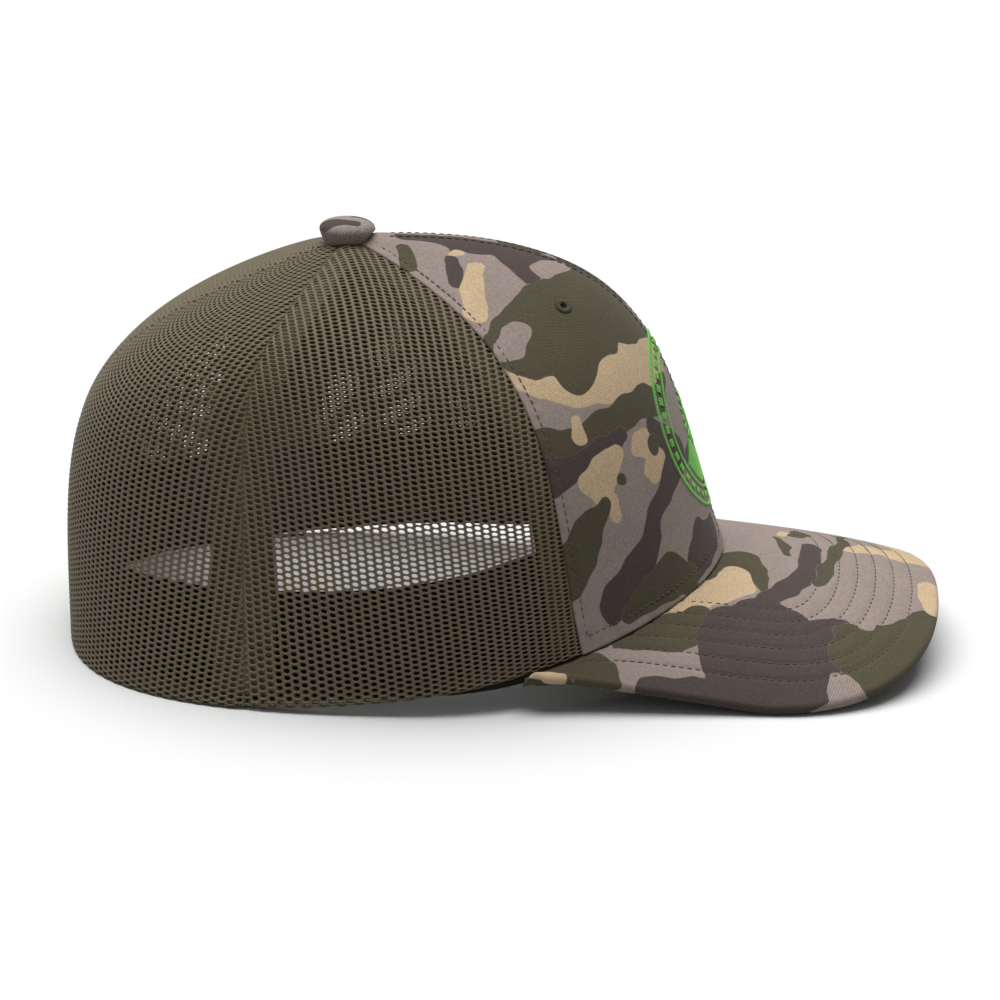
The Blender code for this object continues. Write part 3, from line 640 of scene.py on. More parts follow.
def thread_material(name, tone, roughness=0.6, twist=0.35 * MM):
    """Spun thread: fine twisted fibres and a slight change of shade along it."""
    made = Nodes(name)
    fibres = made.noise(twist, 2.0)
    slow = made.noise(4 * MM, 2.0)
    colour = made.shade(tone, fibres, 0.72, 1.28)
    colour = made.shade(colour, slow, 0.88, 1.12)
    return made.finish(colour, roughness, made.bump(fibres, 0.08 * MM), sheen=0.15)


def steel_material(name):
    made = Nodes(name)
    grain = made.noise(1.5 * MM, 4.0)
    return made.finish(made.shade(srgb(168, 168, 164), grain, 0.85, 1.1), made.remap(grain, 0, 1, 0.3, 0.5),
                       made.bump(grain, 0.03 * MM), metallic=1.0)


def pressed_fibre(name, tone, size):
    """Felted or moulded sheet: the crown's stiffener and the visor's board."""
    made = Nodes(name)
    fibres = made.noise(size, 5.0, roughness=0.7)
    return made.finish(made.shade(tone, fibres, 0.8, 1.15), 0.85, made.bump(fibres, 0.12 * MM))


LOOKS = {
    "camo": camo_material("camo_twill_look"),
    "net": thread_material("netting_look", NET, 0.62, 0.30 * MM),
    "tape": plain_cloth("tape_look", TAPE, 0.9 * MM, 0, low=0.72, high=1.12, depth=0.12 * MM),
    "band": plain_cloth("sweatband_look", BAND, 0.8 * MM, -30),
    "lining": plain_cloth("visor_lining_look", LINING),
    "thread": thread_material("stitch_look", THREAD),
    "net_thread": thread_material("net_stitch_look", srgb(92, 86, 62)),
    "eyelet": thread_material("eyelet_look", srgb(72, 74, 52)),
    "green": thread_material("embroidery_look", GREEN, 0.45, 0.25 * MM),
    "label": plain_cloth("label_look", srgb(44, 38, 42), 0.35 * MM, 0, 0.45, 0.02 * MM, 0.9, 1.1),
}


# ---------------------------------------------------------------- stitching


STITCH_JITTER = 0.06 * MM


def stitch_parts(path, normal, pitch, length, radius, seed):
    """Verts and faces of short thread loops along a path, each diving into the cloth at its ends."""
    draw = np.random.default_rng(seed)
    along = run_length(path)
    count = int(along[-1] / pitch)
    if count < 1:
        return np.zeros((0, 3)), []
    starts = (np.arange(count) + 0.5) * along[-1] / count - length / 2
    starts = starts + draw.uniform(-STITCH_JITTER, STITCH_JITTER, count)
    places = starts[:, None] + length * np.linspace(0, 1, 5)
    centre = np.stack([np.interp(places, along, path[:, axis]) for axis in range(3)], axis=-1)
    up = unit(np.stack([np.interp(places, along, normal[:, axis]) for axis in range(3)], axis=-1))
    return thread_tubes(centre, up, radius, (-0.9, 0.30, 0.50, 0.30, -0.9),
                        draw.uniform(-STITCH_JITTER, STITCH_JITTER, (count, 1)))


def thread_tubes(centre, up, radius, lift, shift=0.0, sides=6):
    """Closed tubes [tube, station, xyz] that rise and dive along the surface's normal."""
    tangent = unit(np.gradient(centre, axis=1))
    side = unit(np.cross(up, tangent))
    stations = centre.shape[1]
    size = radius * np.array([0.5] + [1.0] * (stations - 2) + [0.5])
    middle = centre + up * (radius * np.array(lift))[:, None] + side * np.asarray(shift)[..., None]
    angle = np.arange(sides) * 2 * math.pi / sides
    ring = (side[:, :, None] * np.cos(angle)[:, None] + up[:, :, None] * np.sin(angle)[:, None] * 0.8)
    points = middle[:, :, None] + ring * size[:, None, None]
    count = len(centre)
    quads = grid_faces(stations, sides, closed=True)
    block = stations * sides
    faces = (quads[None] + (np.arange(count) * block)[:, None, None]).reshape(-1, 4).tolist()
    for index in range(count):
        first = index * block
        last = first + block - sides
        faces.append(list(range(first + sides - 1, first - 1, -1)))
        faces.append(list(range(last, last + sides)))
    return points.reshape(-1, 3), faces


def join_parts(parts):
    """Several (verts, faces) pairs as one."""
    points, faces, base = [], [], 0
    for verts, polygons in parts:
        points.append(verts)
        faces += [[corner + base for corner in polygon] for polygon in polygons]
        base += len(verts)
    return np.concatenate(points), faces


def crown_line(azimuth, rise, depth=0.0):
    """A path on the crown with its normals."""
    azimuth, rise = np.broadcast_arrays(np.asarray(azimuth, float), np.asarray(rise, float))
    return crown_layer(azimuth, rise, np.full(azimuth.shape, depth)), crown_normal(azimuth, rise)


# ---------------------------------------------------------------- front panels

EYELET_AZIMUTH = 22.0
EYELET_RISE = 0.68
EYELET_RADIUS = 1.9 * MM

TWILL = 0.8 * MM
CENTRE_STITCH = 2.6 * MM      # from the centre seam to its two rows of topstitch
SIDE_STITCH = 3.0 * MM        # from the side seam to its row
EDGE_STITCH = 5.2 * MM        # from the bottom edge to its row
TOP_RADIUS = 5.5 * MM         # level distance from the apex to the panels' top ends, under the button
CENTRE_ROLL = 0.8 * MM        # radius of the turned edge at the centre seam
EDGE_ROLL = 0.7 * MM          # and at the other edges
ROW_GROOVE = 0.16 * MM        # how deep a row of topstitch sinks
ROW_PUCKER = 0.10 * MM        # size of the puckers between a row and its edge
VENT_DIP = 1.1 * MM           # how deep the cloth sinks at the eyelet
VENT_DIP_RADIUS = 1.3 * MM
VENT_SWELL = 0.12 * MM        # the low ridge round that dip
VENT_SWELL_RADIUS = 4.5 * MM
VENT_PAINTED_SHADE = 1.2 * MM          # radius of the painted shade at the vent's middle: brown print colour standing in for the dark inside of the open hole
STITCH_PITCH = 2.5 * MM


def edge_spacing(count, width, fine=(0, 0.12, 0.3, 0.55, 0.9, 1.5, 2.3)):
    """Shares from 0 to 1 with finer steps near both ends; width in metres."""
    steps = np.array(fine) * MM / width
    middle = np.linspace(steps[-1], 1 - steps[-1], count)
    return np.concatenate((steps[:-1], middle, 1 - steps[-2::-1]))


def roll(distance, radius):
    """How far a turned edge drops, at a distance from that edge."""
    share = np.clip(distance / radius, 0, 1)
    return radius * (1 - np.sqrt(1 - (1 - share) ** 2))


def front_panel(side, sign, strokes):
    """One twill panel: turned edges, sunk and puckered rows, and a dip at the vent whose middle is painted
    with shade for the hole.
    """
    share = edge_spacing(84, 0.086)
    climb = edge_spacing(128, 0.150)
    rise_top = rise_at_radius(np.array((10.0, 40.0)), TOP_RADIUS).mean()
    rise = (climb * rise_top)[:, None]
    seam = seam_azimuth(FRONT_SEAM, rise)
    azimuth = seam * share[None, :]
    rise = np.broadcast_to(rise, azimuth.shape)
    surface = crown_surface(azimuth, rise)
    level = np.linalg.norm(np.diff(surface, axis=1), axis=-1)
    from_centre = np.concatenate((np.zeros((len(level), 1)), np.cumsum(level, axis=1)), axis=1)
    from_side = from_centre[:, -1:] - from_centre
    from_edge = rise * 3 * meridian_value(2, azimuth)     # a Bezier leaves its end at 3 handles per unit
    depth = roll(from_centre, CENTRE_ROLL) + roll(from_side, EDGE_ROLL) + roll(from_edge, EDGE_ROLL)
    for distance, row in ((from_centre, CENTRE_STITCH), (from_side, SIDE_STITCH), (from_edge, EDGE_STITCH)):
        depth = depth + ROW_GROOVE * near(distance - row, 0.6 * MM)
        pucker = ripple(surface, 5.5 * MM, 7 + int(row * 1e5)) * near(distance - row / 2, row)
        depth = depth + ROW_PUCKER * pucker
    depth = depth - 0.12 * MM * ripple(surface, 35 * MM, 3)
    vent = np.linalg.norm(surface - crown_surface(EYELET_AZIMUTH, EYELET_RISE), axis=-1)
    depth = depth + VENT_DIP * near(vent, VENT_DIP_RADIUS)
    depth = depth - VENT_SWELL * near(vent - VENT_SWELL_RADIUS, 1.5 * MM)
    points = crown_layer(azimuth, rise, depth) * (sign, 1, 1)
    fields = paint(points, strokes, crown_surface)
    # Painted shade: brown fills the vent's middle to stand for the dark inside of the hole, which is not cut
    hole = (VENT_PAINTED_SHADE - vent).ravel()
    fields = {key: np.maximum(values, hole) if key == "brown" else np.minimum(values, -hole)
              for key, values in fields.items()}
    up_cloth = np.broadcast_to(run_length(surface[:, 40])[:, None], from_centre.shape)
    uv = np.stack((from_centre * sign, up_cloth), axis=-1)
    faces = grid_faces(*points.shape[:2])
    if sign < 0:
        faces = faces[:, ::-1]
    panel = add_piece(f"front_twill_{side}", points, faces, LOOKS["camo"],
                      (f"front_panel_{side}",), uv=uv, fields=fields)
    thicken(panel, TWILL)


def front_topstitching():
    """Two rows along the centre seam, one along each side seam, one along the bottom edge."""
    parts = []
    for sign in (-1, 1):
        flip = np.array((sign, 1, 1))
        rise = np.linspace(0.035, 0.955, 400)
        radius = level_radius(np.full_like(rise, 4.0), rise)
        centre = crown_line(np.degrees(CENTRE_STITCH / radius), rise)
        side_radius = level_radius(seam_azimuth(FRONT_SEAM, rise), rise)
        side = crown_line(seam_azimuth(FRONT_SEAM, rise) - np.degrees(SIDE_STITCH / side_radius), rise)
        azimuth = np.linspace(0.6, FRONT_SEAM - 1.4, 300)
        edge = crown_line(azimuth, EDGE_STITCH / (3 * meridian_value(2, azimuth)))
        for index, (path, normal) in enumerate((centre, side, edge)):
            parts.append(stitch_parts(path * flip, normal * flip, STITCH_PITCH, 1.9 * MM, 0.20 * MM,
                                      seed=20 + index))
    points, faces = join_parts(parts)
    add_piece("front_topstitching", points, faces, LOOKS["thread"])


# ---------------------------------------------------------------- netting

CELL_WIDTH = 2.6 * MM         # between columns of holes; every second column sits half a step up
CELL_HEIGHT = 1.72 * MM
HOLE_WIDTH = 1.02 * MM        # half sizes of a hole
HOLE_HEIGHT = 0.63 * MM
# node, first and last seam, size of the holes against HOLE_WIDTH and HOLE_HEIGHT, height of the
# threads to each side of the netting's middle, share of that height at the rim of a hole
NET_PANELS = (
    ("side_mesh_right", FRONT_SEAM, BACK_SEAM, 0.92, 0.34 * MM, 0.3),
    ("back_mesh_right", BACK_SEAM, 180, 0.90, 0.36 * MM, 0.4),
    ("back_mesh_left", BACK_SEAM, 180, 0.70, 0.54 * MM, 0.95),
    ("side_mesh_left", FRONT_SEAM, BACK_SEAM, 0.60, 0.58 * MM, 0.95),
)
NET_DEPTH = 0.5 * MM          # of the middle of the netting under the crown's surface
FOLD_RADIUS = 0.85 * MM       # of the turned bottom edge
FOLD_LIFT = 1.25 * MM         # height of the middle of that turn
FOLD_INSIDE = 4.5 * MM        # how far the turned layer runs up inside
CORNERS = 12


def net_cell(hole_scale):
    """Outline of a cell with how high the thread stands there, and of its hole, CORNERS points each."""
    half = CELL_HEIGHT / 2
    corner = (CELL_WIDTH ** 2 + half ** 2) / 2 / CELL_WIDTH
    shoulder = corner - half * half / CELL_WIDTH
    right = np.array(((corner, 0, 0.5), (shoulder, half, 0.75), (shoulder / 2, half, 1.0), (0, half, 1.0)))
    left = right[:-1][::-1] * (-1, 1, 1)
    upper = np.concatenate((right, left))
    lower = upper[1:-1][::-1] * (1, -1, 1)
    outline = np.concatenate((upper, lower))
    angle = np.arange(CORNERS) * 2 * math.pi / CORNERS
    hole = np.stack((HOLE_WIDTH * np.sign(np.cos(angle)) * np.abs(np.cos(angle)) ** 0.95,
                     HOLE_HEIGHT * np.sign(np.sin(angle)) * np.abs(np.sin(angle)) ** 0.85), axis=-1)
    return outline, hole * hole_scale


def cloth_map(start, end, trims):
    """Tables that lay flat cloth over a panel: its columns follow the panel's middle line."""
    rises = np.linspace(0, 0.995, 160)
    first, last = seam_azimuth(start, rises), seam_azimuth(end, rises)
    radius = np.maximum(level_radius((first + last) / 2, rises), MM)
    first = first + np.degrees(trims[0] / radius)
    last = np.maximum(last - np.degrees(trims[1] / radius), first + 0.01)
    share = np.linspace(0, 1, 121)
    azimuth = first[:, None] + (last - first)[:, None] * share
    points = crown_surface(azimuth, rises[:, None])
    steps = np.linalg.norm(np.diff(points, axis=1), axis=-1)
    u = np.concatenate((np.zeros((len(rises), 1)), np.cumsum(steps, axis=1)), axis=1)
    u = u - u[:, 60:61]
    v = run_length(points[:, 60])
    grid = np.linspace(u.min(), u.max(), 260)
    table = np.array([np.interp(grid, row_u, row_a) for row_u, row_a in zip(u, azimuth)])
    return rises, v, u, grid, table


def lay_net(layout, u, v, height, dips):
    """Points on the crown for cloth coordinates, folded round the bottom edge and dipped at the seams.

    The second result tells which of them lie beyond the panel's seams.
    """
    rises, v_rows, u_rows, grid, table = layout
    turn = np.clip((FOLD_LIFT - v) / FOLD_RADIUS, 0, math.pi)
    beyond = np.maximum((FOLD_LIFT - v) - math.pi * FOLD_RADIUS, 0)
    up = np.where(v >= FOLD_LIFT, v, FOLD_LIFT - FOLD_RADIUS * np.sin(turn) + beyond)
    depth = NET_DEPTH + FOLD_RADIUS * (1 - np.cos(turn))
    row = np.interp(up, v_rows, np.arange(len(v_rows)))
    low = np.clip(row.astype(int), 0, len(v_rows) - 2)
    part = row - low
    column = np.interp(u, grid, np.arange(len(grid)))
    left = np.clip(column.astype(int), 0, len(grid) - 2)
    share = column - left
    azimuth = ((table[low, left] * (1 - share) + table[low, left + 1] * share) * (1 - part)
               + (table[low + 1, left] * (1 - share) + table[low + 1, left + 1] * share) * part)
    rise = np.interp(up, v_rows, rises)
    start = u_rows[low, 0] * (1 - part) + u_rows[low + 1, 0] * part
    end = u_rows[low, -1] * (1 - part) + u_rows[low + 1, -1] * part
    depth = depth + dips[0] * near(u - start, 1.5 * MM) + dips[1] * near(end - u, 1.5 * MM)
    normal = crown_normal(azimuth, rise)
    slant = turn[..., None]
    level = unit(normal * (1, 1, 0))
    outward = np.where(slant > 0, level * np.cos(slant) - np.array((0, 0, 1.0)) * np.sin(slant), normal)
    points = crown_surface(azimuth, rise) - depth[..., None] * np.where(slant > 0, level, normal)
    clamped = (u < start) | (u > end)
    return points + outward * height[..., None], clamped


def net_panel(start, end, trims, dips, hole_scale, relief, rim_share):
    """Netting between two seams: the panel and its turned edge, each as points and faces."""
    layout = cloth_map(start, end, trims)
    u_rows, v_rows = layout[2], layout[1]
    low = FOLD_LIFT - math.pi * FOLD_RADIUS - FOLD_INSIDE
    columns = np.arange(math.floor(u_rows.min() / CELL_WIDTH) - 1, math.ceil(u_rows.max() / CELL_WIDTH) + 2)
    rows = np.arange(math.floor(low / CELL_HEIGHT), math.ceil(v_rows[-1] / CELL_HEIGHT))
    column, row = [part.ravel() for part in np.meshgrid(columns, rows)]
    u = column * CELL_WIDTH
    v = (row + 0.5 * (column % 2)) * CELL_HEIGHT
    left = np.interp(v, v_rows, u_rows[:, 0])
    right = np.interp(v, v_rows, u_rows[:, -1])
    kept = (u > left - CELL_WIDTH / 2) & (u < right + CELL_WIDTH / 2) & (v > low) & (v < v_rows[-1] - 5 * MM)
    u, v = u[kept], v[kept]
    outline, hole = net_cell(hole_scale)
    count = len(u)
    ring_u, ring_v = u[:, None] + outline[:, 0], v[:, None] + outline[:, 1]
    keys = np.round(np.stack((ring_u, ring_v), axis=-1).reshape(-1, 2) / (0.01 * MM)).astype(np.int64)
    _, chosen, index = np.unique(keys, axis=0, return_index=True, return_inverse=True)
    index = index.reshape(count, CORNERS)
    ridge_u, ridge_v = ring_u.ravel()[chosen], ring_v.ravel()[chosen]
    stand = np.broadcast_to(outline[:, 2], (count, CORNERS)).ravel()[chosen] * relief
    sway = 0.10 * MM * np.sin(ridge_u * 2 * math.pi / (4.1 * CELL_WIDTH) + ridge_v * 900)
    top, top_out = lay_net(layout, ridge_u, ridge_v + sway, stand, dips)
    under, _ = lay_net(layout, ridge_u, ridge_v + sway, -stand, dips)
    hole_u, hole_v = u[:, None] + hole[:, 0], v[:, None] + hole[:, 1]
    rim_height = np.full(count * CORNERS, rim_share * relief)
    rim, rim_out = lay_net(layout, hole_u.ravel(), hole_v.ravel(), rim_height, dips)
    low_rim, _ = lay_net(layout, hole_u.ravel(), hole_v.ravel(), -rim_height, dips)
    ridges = len(chosen)
    rim_index = np.arange(count * CORNERS).reshape(count, CORNERS) + 2 * ridges
    low_index = rim_index + count * CORNERS
    after = np.roll(np.arange(CORNERS), -1)
    upper = np.stack((index, index[:, after], rim_index[:, after], rim_index), axis=-1)
    wall = np.stack((rim_index, rim_index[:, after], low_index[:, after], low_index), axis=-1)
    lower = np.stack((low_index, low_index[:, after], index[:, after] + ridges, index + ridges), axis=-1)
    faces = np.concatenate((upper, wall, lower), axis=1)
    points = np.concatenate((top, under, rim, low_rim))
    outside = np.concatenate((top_out, top_out, rim_out, rim_out))
    fold = v < 1.5 * CELL_HEIGHT
    results = []
    for cells in (~fold, fold):
        chosen_faces = faces[cells].reshape(-1, 4)
        chosen_faces = chosen_faces[~outside[chosen_faces].all(axis=1)]
        used, renamed = np.unique(chosen_faces, return_inverse=True)
        results.append((points[used], renamed.reshape(-1, 4)))
    return results


def netting():
    """The four panels. The far ones are knitted a little closer, so that they read as closed cloth."""
    lap = -0.8 * MM           # the side panels run in under the front panels
    crease = 0.05 * MM
    folds = []
    for node, start, end, hole_scale, relief, rim_share in NET_PANELS:
        front = start == FRONT_SEAM
        trims = (lap if front else crease, crease)
        dips = (0.55 * MM if front else 0.7 * MM, 0.7 * MM)
        panel, fold = net_panel(start, end, trims, dips, hole_scale, relief, rim_share)
        step = 1 if node.endswith("left") else -1
        flip = np.array((step, 1, 1))
        add_piece(f"netting_{node.replace('_mesh', '')}", panel[0] * flip, panel[1][:, ::step], LOOKS["net"],
                  (node,))
        folds.append((fold[0] * flip, fold[1][:, ::step].tolist()))
    points, faces = join_parts(folds)
    add_piece("netting_hem", points, faces, LOOKS["net"], ("bottom_binding",))


# ---------------------------------------------------------------- inside: tapes, sweatband, label

TAPE_DEPTH = 1.25 * MM        # of a tape behind netting; the front ones lie behind the stiffener
FRONT_TAPE_DEPTH = 2.3 * MM
TAPE_THICKNESS = 0.5 * MM
TAPE_WIDTH = 18 * MM
TAPE_TOP_RADIUS = 8.5 * MM    # level distance from the apex to the tapes' top ends
BAND_DEPTH = 3.4 * MM
BAND_THICKNESS = 1.4 * MM
BAND_HEIGHT = 34.5 * MM
BAND_CLEARANCE = 2.2 * MM
BAND_SAG = 5.0 * MM           # how far the band's lower edge hangs beside the visor's ends
BAND_ROW_TOP = 2.2 * MM       # from the band's top edge to its upper row of stitches
BAND_ROW_FOOT = 3 * MM        # from its bottom edge to its lower row


def seam_tapes():
    """Six tapes over the inside of the seams, each sunk a little along a line near either edge; their folds
    and stitches are not drawn.
    """
    back_gap = 180 - BACK_SEAM
    side_gap = BACK_SEAM - FRONT_SEAM
    for name, seam, neighbour in (
        ("front_centre", 0, FRONT_SEAM),
        ("front_right", -FRONT_SEAM, FRONT_SEAM),
        ("front_left", FRONT_SEAM, FRONT_SEAM),
        ("back_right", -BACK_SEAM, min(side_gap, back_gap)),
        ("back_left", BACK_SEAM, min(side_gap, back_gap)),
        ("back_centre", 180, back_gap),
    ):
        middle = np.full(1, float(seam))
        low = rise_at_height(middle, BAND_HEIGHT * 0.12)[0]
        high = rise_at_radius(middle, TAPE_TOP_RADIUS)[0]
        rise = np.linspace(low, high, 110)[:, None]
        radius = level_radius(np.full_like(rise, seam), rise)
        half = np.minimum(np.degrees(TAPE_WIDTH / 2 / radius), neighbour / 2 - 1.5)
        share = np.linspace(-1, 1, 25)[None, :]
        azimuth = seam_azimuth(seam, rise) + half * share
        rise = np.broadcast_to(rise, azimuth.shape)
        surface = crown_surface(azimuth, rise)
        base = FRONT_TAPE_DEPTH if abs(seam) <= FRONT_SEAM else TAPE_DEPTH
        depth = base + 0.12 * MM * near(np.abs(share) - 0.82, 0.05) + 0.08 * MM * ripple(surface, 9 * MM, 5)
        points = crown_layer(azimuth, rise, depth)
        tape = add_piece(f"tape_{name}", points, grid_faces(*points.shape[:2]), LOOKS["tape"],
                         (f"seam_tape_{name}",), uv=grid_uv(points))
        thicken(tape, TAPE_THICKNESS)


def sweatband():
    """The padded band, sunk a little along its upper row, with its two rows of stitches near its edges on
    both faces.
    """
    azimuth = np.arange(-180.0, 180.0, 1.0)
    heights = BAND_CLEARANCE + (BAND_HEIGHT - BAND_CLEARANCE) * edge_spacing(26, 0.032, (0, 0.3, 0.8))
    azimuth, height = np.meshgrid(azimuth, heights)
    lowness = 1 - (height - BAND_CLEARANCE) / (BAND_HEIGHT - BAND_CLEARANCE)
    sag = BAND_SAG * near(np.abs(azimuth) - 58, 26) * lowness
    rise = rise_at_height(azimuth, np.maximum(height - sag, 0.0))
    surface = crown_surface(azimuth, rise)
    depth = BAND_DEPTH + 0.10 * MM * ripple(surface, 7 * MM, 9)
    depth = depth + 0.25 * MM * near(height - BAND_HEIGHT + BAND_ROW_TOP, 0.8 * MM)
    below = np.minimum(height - sag, 0.0)
    points = crown_layer(azimuth, rise, depth) + below[..., None] * np.array((0, 0, 1.0))
    uv = np.stack((np.radians(azimuth) * 0.095, height), axis=-1)
    band = add_piece("sweatband_cloth", points, grid_faces(*points.shape[:2], closed=True), LOOKS["band"],
                     ("sweatband",), uv=uv)
    thicken(band, BAND_THICKNESS)
    parts = []
    line = np.linspace(-180, 180, 1400)
    for height, seed in ((BAND_HEIGHT - BAND_ROW_TOP, 61), (BAND_CLEARANCE + BAND_ROW_FOOT, 62)):
        rise = rise_at_height(line, np.full_like(line, height))
        for depth, facing in ((BAND_DEPTH + 0.1 * MM, 1), (BAND_DEPTH + BAND_THICKNESS, -1)):
            path, normal = crown_line(line, rise, depth)
            parts.append(stitch_parts(path, normal * facing, 3.2 * MM, 2.3 * MM, 0.2 * MM, seed=seed))
    points, faces = join_parts(parts)
    add_piece("sweatband_stitching", points, faces, LOOKS["net_thread"])


LABEL_AZIMUTHS = (111.5, 141.0)
LABEL_TOP = 33.5 * MM
LABEL_HEIGHT = 30.5 * MM
LABEL_THICKNESS = 0.6 * MM
LABEL_DEPTH = BAND_DEPTH + BAND_THICKNESS + 0.5 * MM


def label():
    """The blank satin label. It hangs from its top edge; its middle stands a little further in than its
    sides, and its folded-in sides and foot are not shaped.
    """
    azimuth = np.linspace(*LABEL_AZIMUTHS, 56)
    height = np.linspace(LABEL_TOP - LABEL_HEIGHT, LABEL_TOP, 42)
    azimuth, height = np.meshgrid(azimuth, height)
    rise = rise_at_height(azimuth, height)
    surface = crown_surface(azimuth, rise)
    side = np.minimum(azimuth - LABEL_AZIMUTHS[0], LABEL_AZIMUTHS[1] - azimuth)
    depth = LABEL_DEPTH + 0.12 * MM * (1 - near(side, 1.6)) + 0.10 * MM * ripple(surface, 0.016, 12)
    points = crown_layer(azimuth, rise, depth)
    sheet = add_piece("label_satin", points, grid_faces(*points.shape[:2]), LOOKS["label"],
                      ("size_label",), body="label", uv=grid_uv(points))
    thicken(sheet, LABEL_THICKNESS - 0.15 * MM)


# ---------------------------------------------------------------- visor

ROWS_OF_STITCHING = 6
FIRST_ROW = 9.1 * MM          # from the rim to the outermost row
ROW_STEP = 5.8 * MM
WRAP = 2.0 * MM               # radius of the rounded rim
HORN_PINCH = 0.035            # the rim flattens out over this much of across, at each horn
BOARD_REACH = 0.945           # across value where the hidden board ends
HORN_FALL = 3.4 * MM          # past the board, each horn's end dips this far, in under the hem
HORN_TIP_SHARE = 0.3          # of the rim's radius, left at the very end
HORN_TWIST = 0.89             # across value from which the surface twists
LINING_THINS = 0.90           # across value from which the lining rises towards the twill
LINING_INSET = 1.7 * MM       # from the rim to the lining's edge
GROOVE = 0.34 * MM            # how deep a row of stitching sinks in the twill


def rim_distance(points):
    """Level distance from points to the visor's rim."""
    rim = visor_rim(np.linspace(-1, 1, 700))[:, :2]
    flat = points.reshape(-1, 3)[:, :2]
    nearest = np.full(len(flat), np.inf)
    for block in np.array_split(rim, 14):
        gap = np.linalg.norm(flat[:, None] - block[None], axis=-1).min(axis=1)
        nearest = np.minimum(nearest, gap)
    return nearest.reshape(points.shape[:-1])


def stitch_grooves(distance):
    rows = FIRST_ROW + ROW_STEP * np.arange(ROWS_OF_STITCHING)
    return sum(near(distance - row, 0.75 * MM) for row in rows)


def visor_reach(across):
    """Straight distance from the crown to the rim."""
    return np.linalg.norm(visor_top(across, 1.0) - visor_top(across, 0.0), axis=-1)


def visor_places(across, rows, last_out):
    """Grids of across and out, in rows from the crown to each column's last out value."""
    out = np.linspace(0, 1, rows)[:, None] * last_out
    return np.broadcast_to(across, out.shape), out


def stood_up(normal, across):
    """Normals of the visor turned upright near the horns, where the surface twists."""
    upright = np.clip((np.abs(across) - HORN_TWIST) / 0.05, 0, 1)[..., None]
    return unit(normal * (1 - upright) + np.array((0, 0, 1.0)) * upright)


def horn_dip(across, rows):
    """How far the horns' ends sink below the plain visor surface, past the board."""
    past_board = np.clip((np.abs(across) - BOARD_REACH) / (VISOR_REACH - BOARD_REACH), 0, 1)
    return HORN_FALL * past_board ** 1.5 * np.linspace(0, 1, rows)[:, None]


def visor_cloth():
    """The twill over the top: it sinks at each row of stitching and wraps round the rim."""
    across = np.linspace(-VISOR_REACH, VISOR_REACH, 321)
    wrap = np.minimum(WRAP, visor_reach(across) * 0.45)
    places = visor_places(across, 100, 1 - wrap / visor_reach(across))
    surface = visor_top(*places)
    surface[..., 2] -= horn_dip(across, len(surface))
    normal = visor_normal(*places)
    distance = rim_distance(surface)
    depth = GROOVE * stitch_grooves(distance) - 0.05 * MM * ripple(surface, 6 * MM, 17)
    flat = surface - depth[..., None] * normal
    last, up = flat[-1], stood_up(normal[-1], across)
    pinch = np.sqrt(np.clip((VISOR_REACH - np.abs(across)) / HORN_PINCH, 0.0, 1.0))
    pinch = np.maximum(pinch, HORN_TIP_SHARE)
    drop = ((WRAP - 0.1 * MM) * pinch)[:, None]
    outward = unit(surface[-1] - surface[-2])
    turned = []
    for angle in np.radians(np.linspace(12, 168, 14)):
        out = (wrap * pinch)[:, None] * outward * math.sin(angle)
        turned.append(last + out - drop * up * (1 - math.cos(angle)))
    tuck = turned[-1] - outward * 0.8 * MM * pinch[:, None]
    inward = -unit(crown_edge(across * VISOR_CROWN_AZIMUTH) * (1, 1, 0))
    inward = inward * pinch[:, None]
    allowance = [flat[0] + inward * reach_in * MM - np.array((0, 0, 0.15 * MM)) for reach_in in (3.0, 1.5)]
    points = np.concatenate((allowance, flat, np.array(turned), tuck[None]))
    fields = paint(points, list(VISOR_STROKES) + FAR_VISOR, visor_top)
    faces = grid_faces(*points.shape[:2])[:, ::-1]
    cloth = add_piece("visor_twill", points, faces, LOOKS["camo"], ("visor_top_cover",),
                      uv=grid_uv(points), fields=fields)
    thicken(cloth, 0.5 * MM)


def visor_lining():
    """The cloth of the underside, grooved by the same rows."""
    across = np.linspace(-VISOR_REACH, VISOR_REACH, 301)
    places = visor_places(across, 90, np.maximum(1 - LINING_INSET / visor_reach(across), 0.3))
    surface = visor_top(*places)
    distance = rim_distance(surface)
    surface[..., 2] -= horn_dip(across, len(surface))
    thinning = np.clip((np.abs(across) - LINING_THINS) / (VISOR_REACH - LINING_THINS), 0, 1) ** 2
    depth = (VISOR_THICKNESS - 0.25 * MM * stitch_grooves(distance)) * (1 - 0.75 * thinning)
    normal = stood_up(visor_normal(*places), places[0])
    points = surface - depth[..., None] * normal
    lining = add_piece("visor_lining_cloth", points, grid_faces(*points.shape[:2]), LOOKS["lining"],
                       ("visor_bottom_cover",), uv=grid_uv(points))
    thicken(lining, 0.6 * MM)


def visor_stitching():
    """Six rows that follow the rim, seen on the top and on the underside."""
    across = np.linspace(-0.93, 0.93, 1200)
    out = np.linspace(0.005, 0.99, 120)
    places = np.meshgrid(across, out)
    surface = visor_top(*places)
    distance = rim_distance(surface)
    parts = []
    for index in range(ROWS_OF_STITCHING):
        row = FIRST_ROW + ROW_STEP * index
        there = distance[0] > row + 0.4 * MM
        found = np.array([np.interp(-row, -distance[:, column], out) for column in np.flatnonzero(there)])
        line = across[there]
        normal = visor_normal(line, found)
        for depth, facing in ((0.30 * MM, 1), (VISOR_THICKNESS - 0.22 * MM, -1)):
            path = visor_top(line, found) - depth * normal
            parts.append(stitch_parts(path, normal * facing, STITCH_PITCH, 1.95 * MM, 0.21 * MM,
                                      seed=70 + index))
    points, faces = join_parts(parts)
    add_piece("visor_stitching", points, faces, LOOKS["thread"])


# ---------------------------------------------------------------- button, eyelets, embroidery

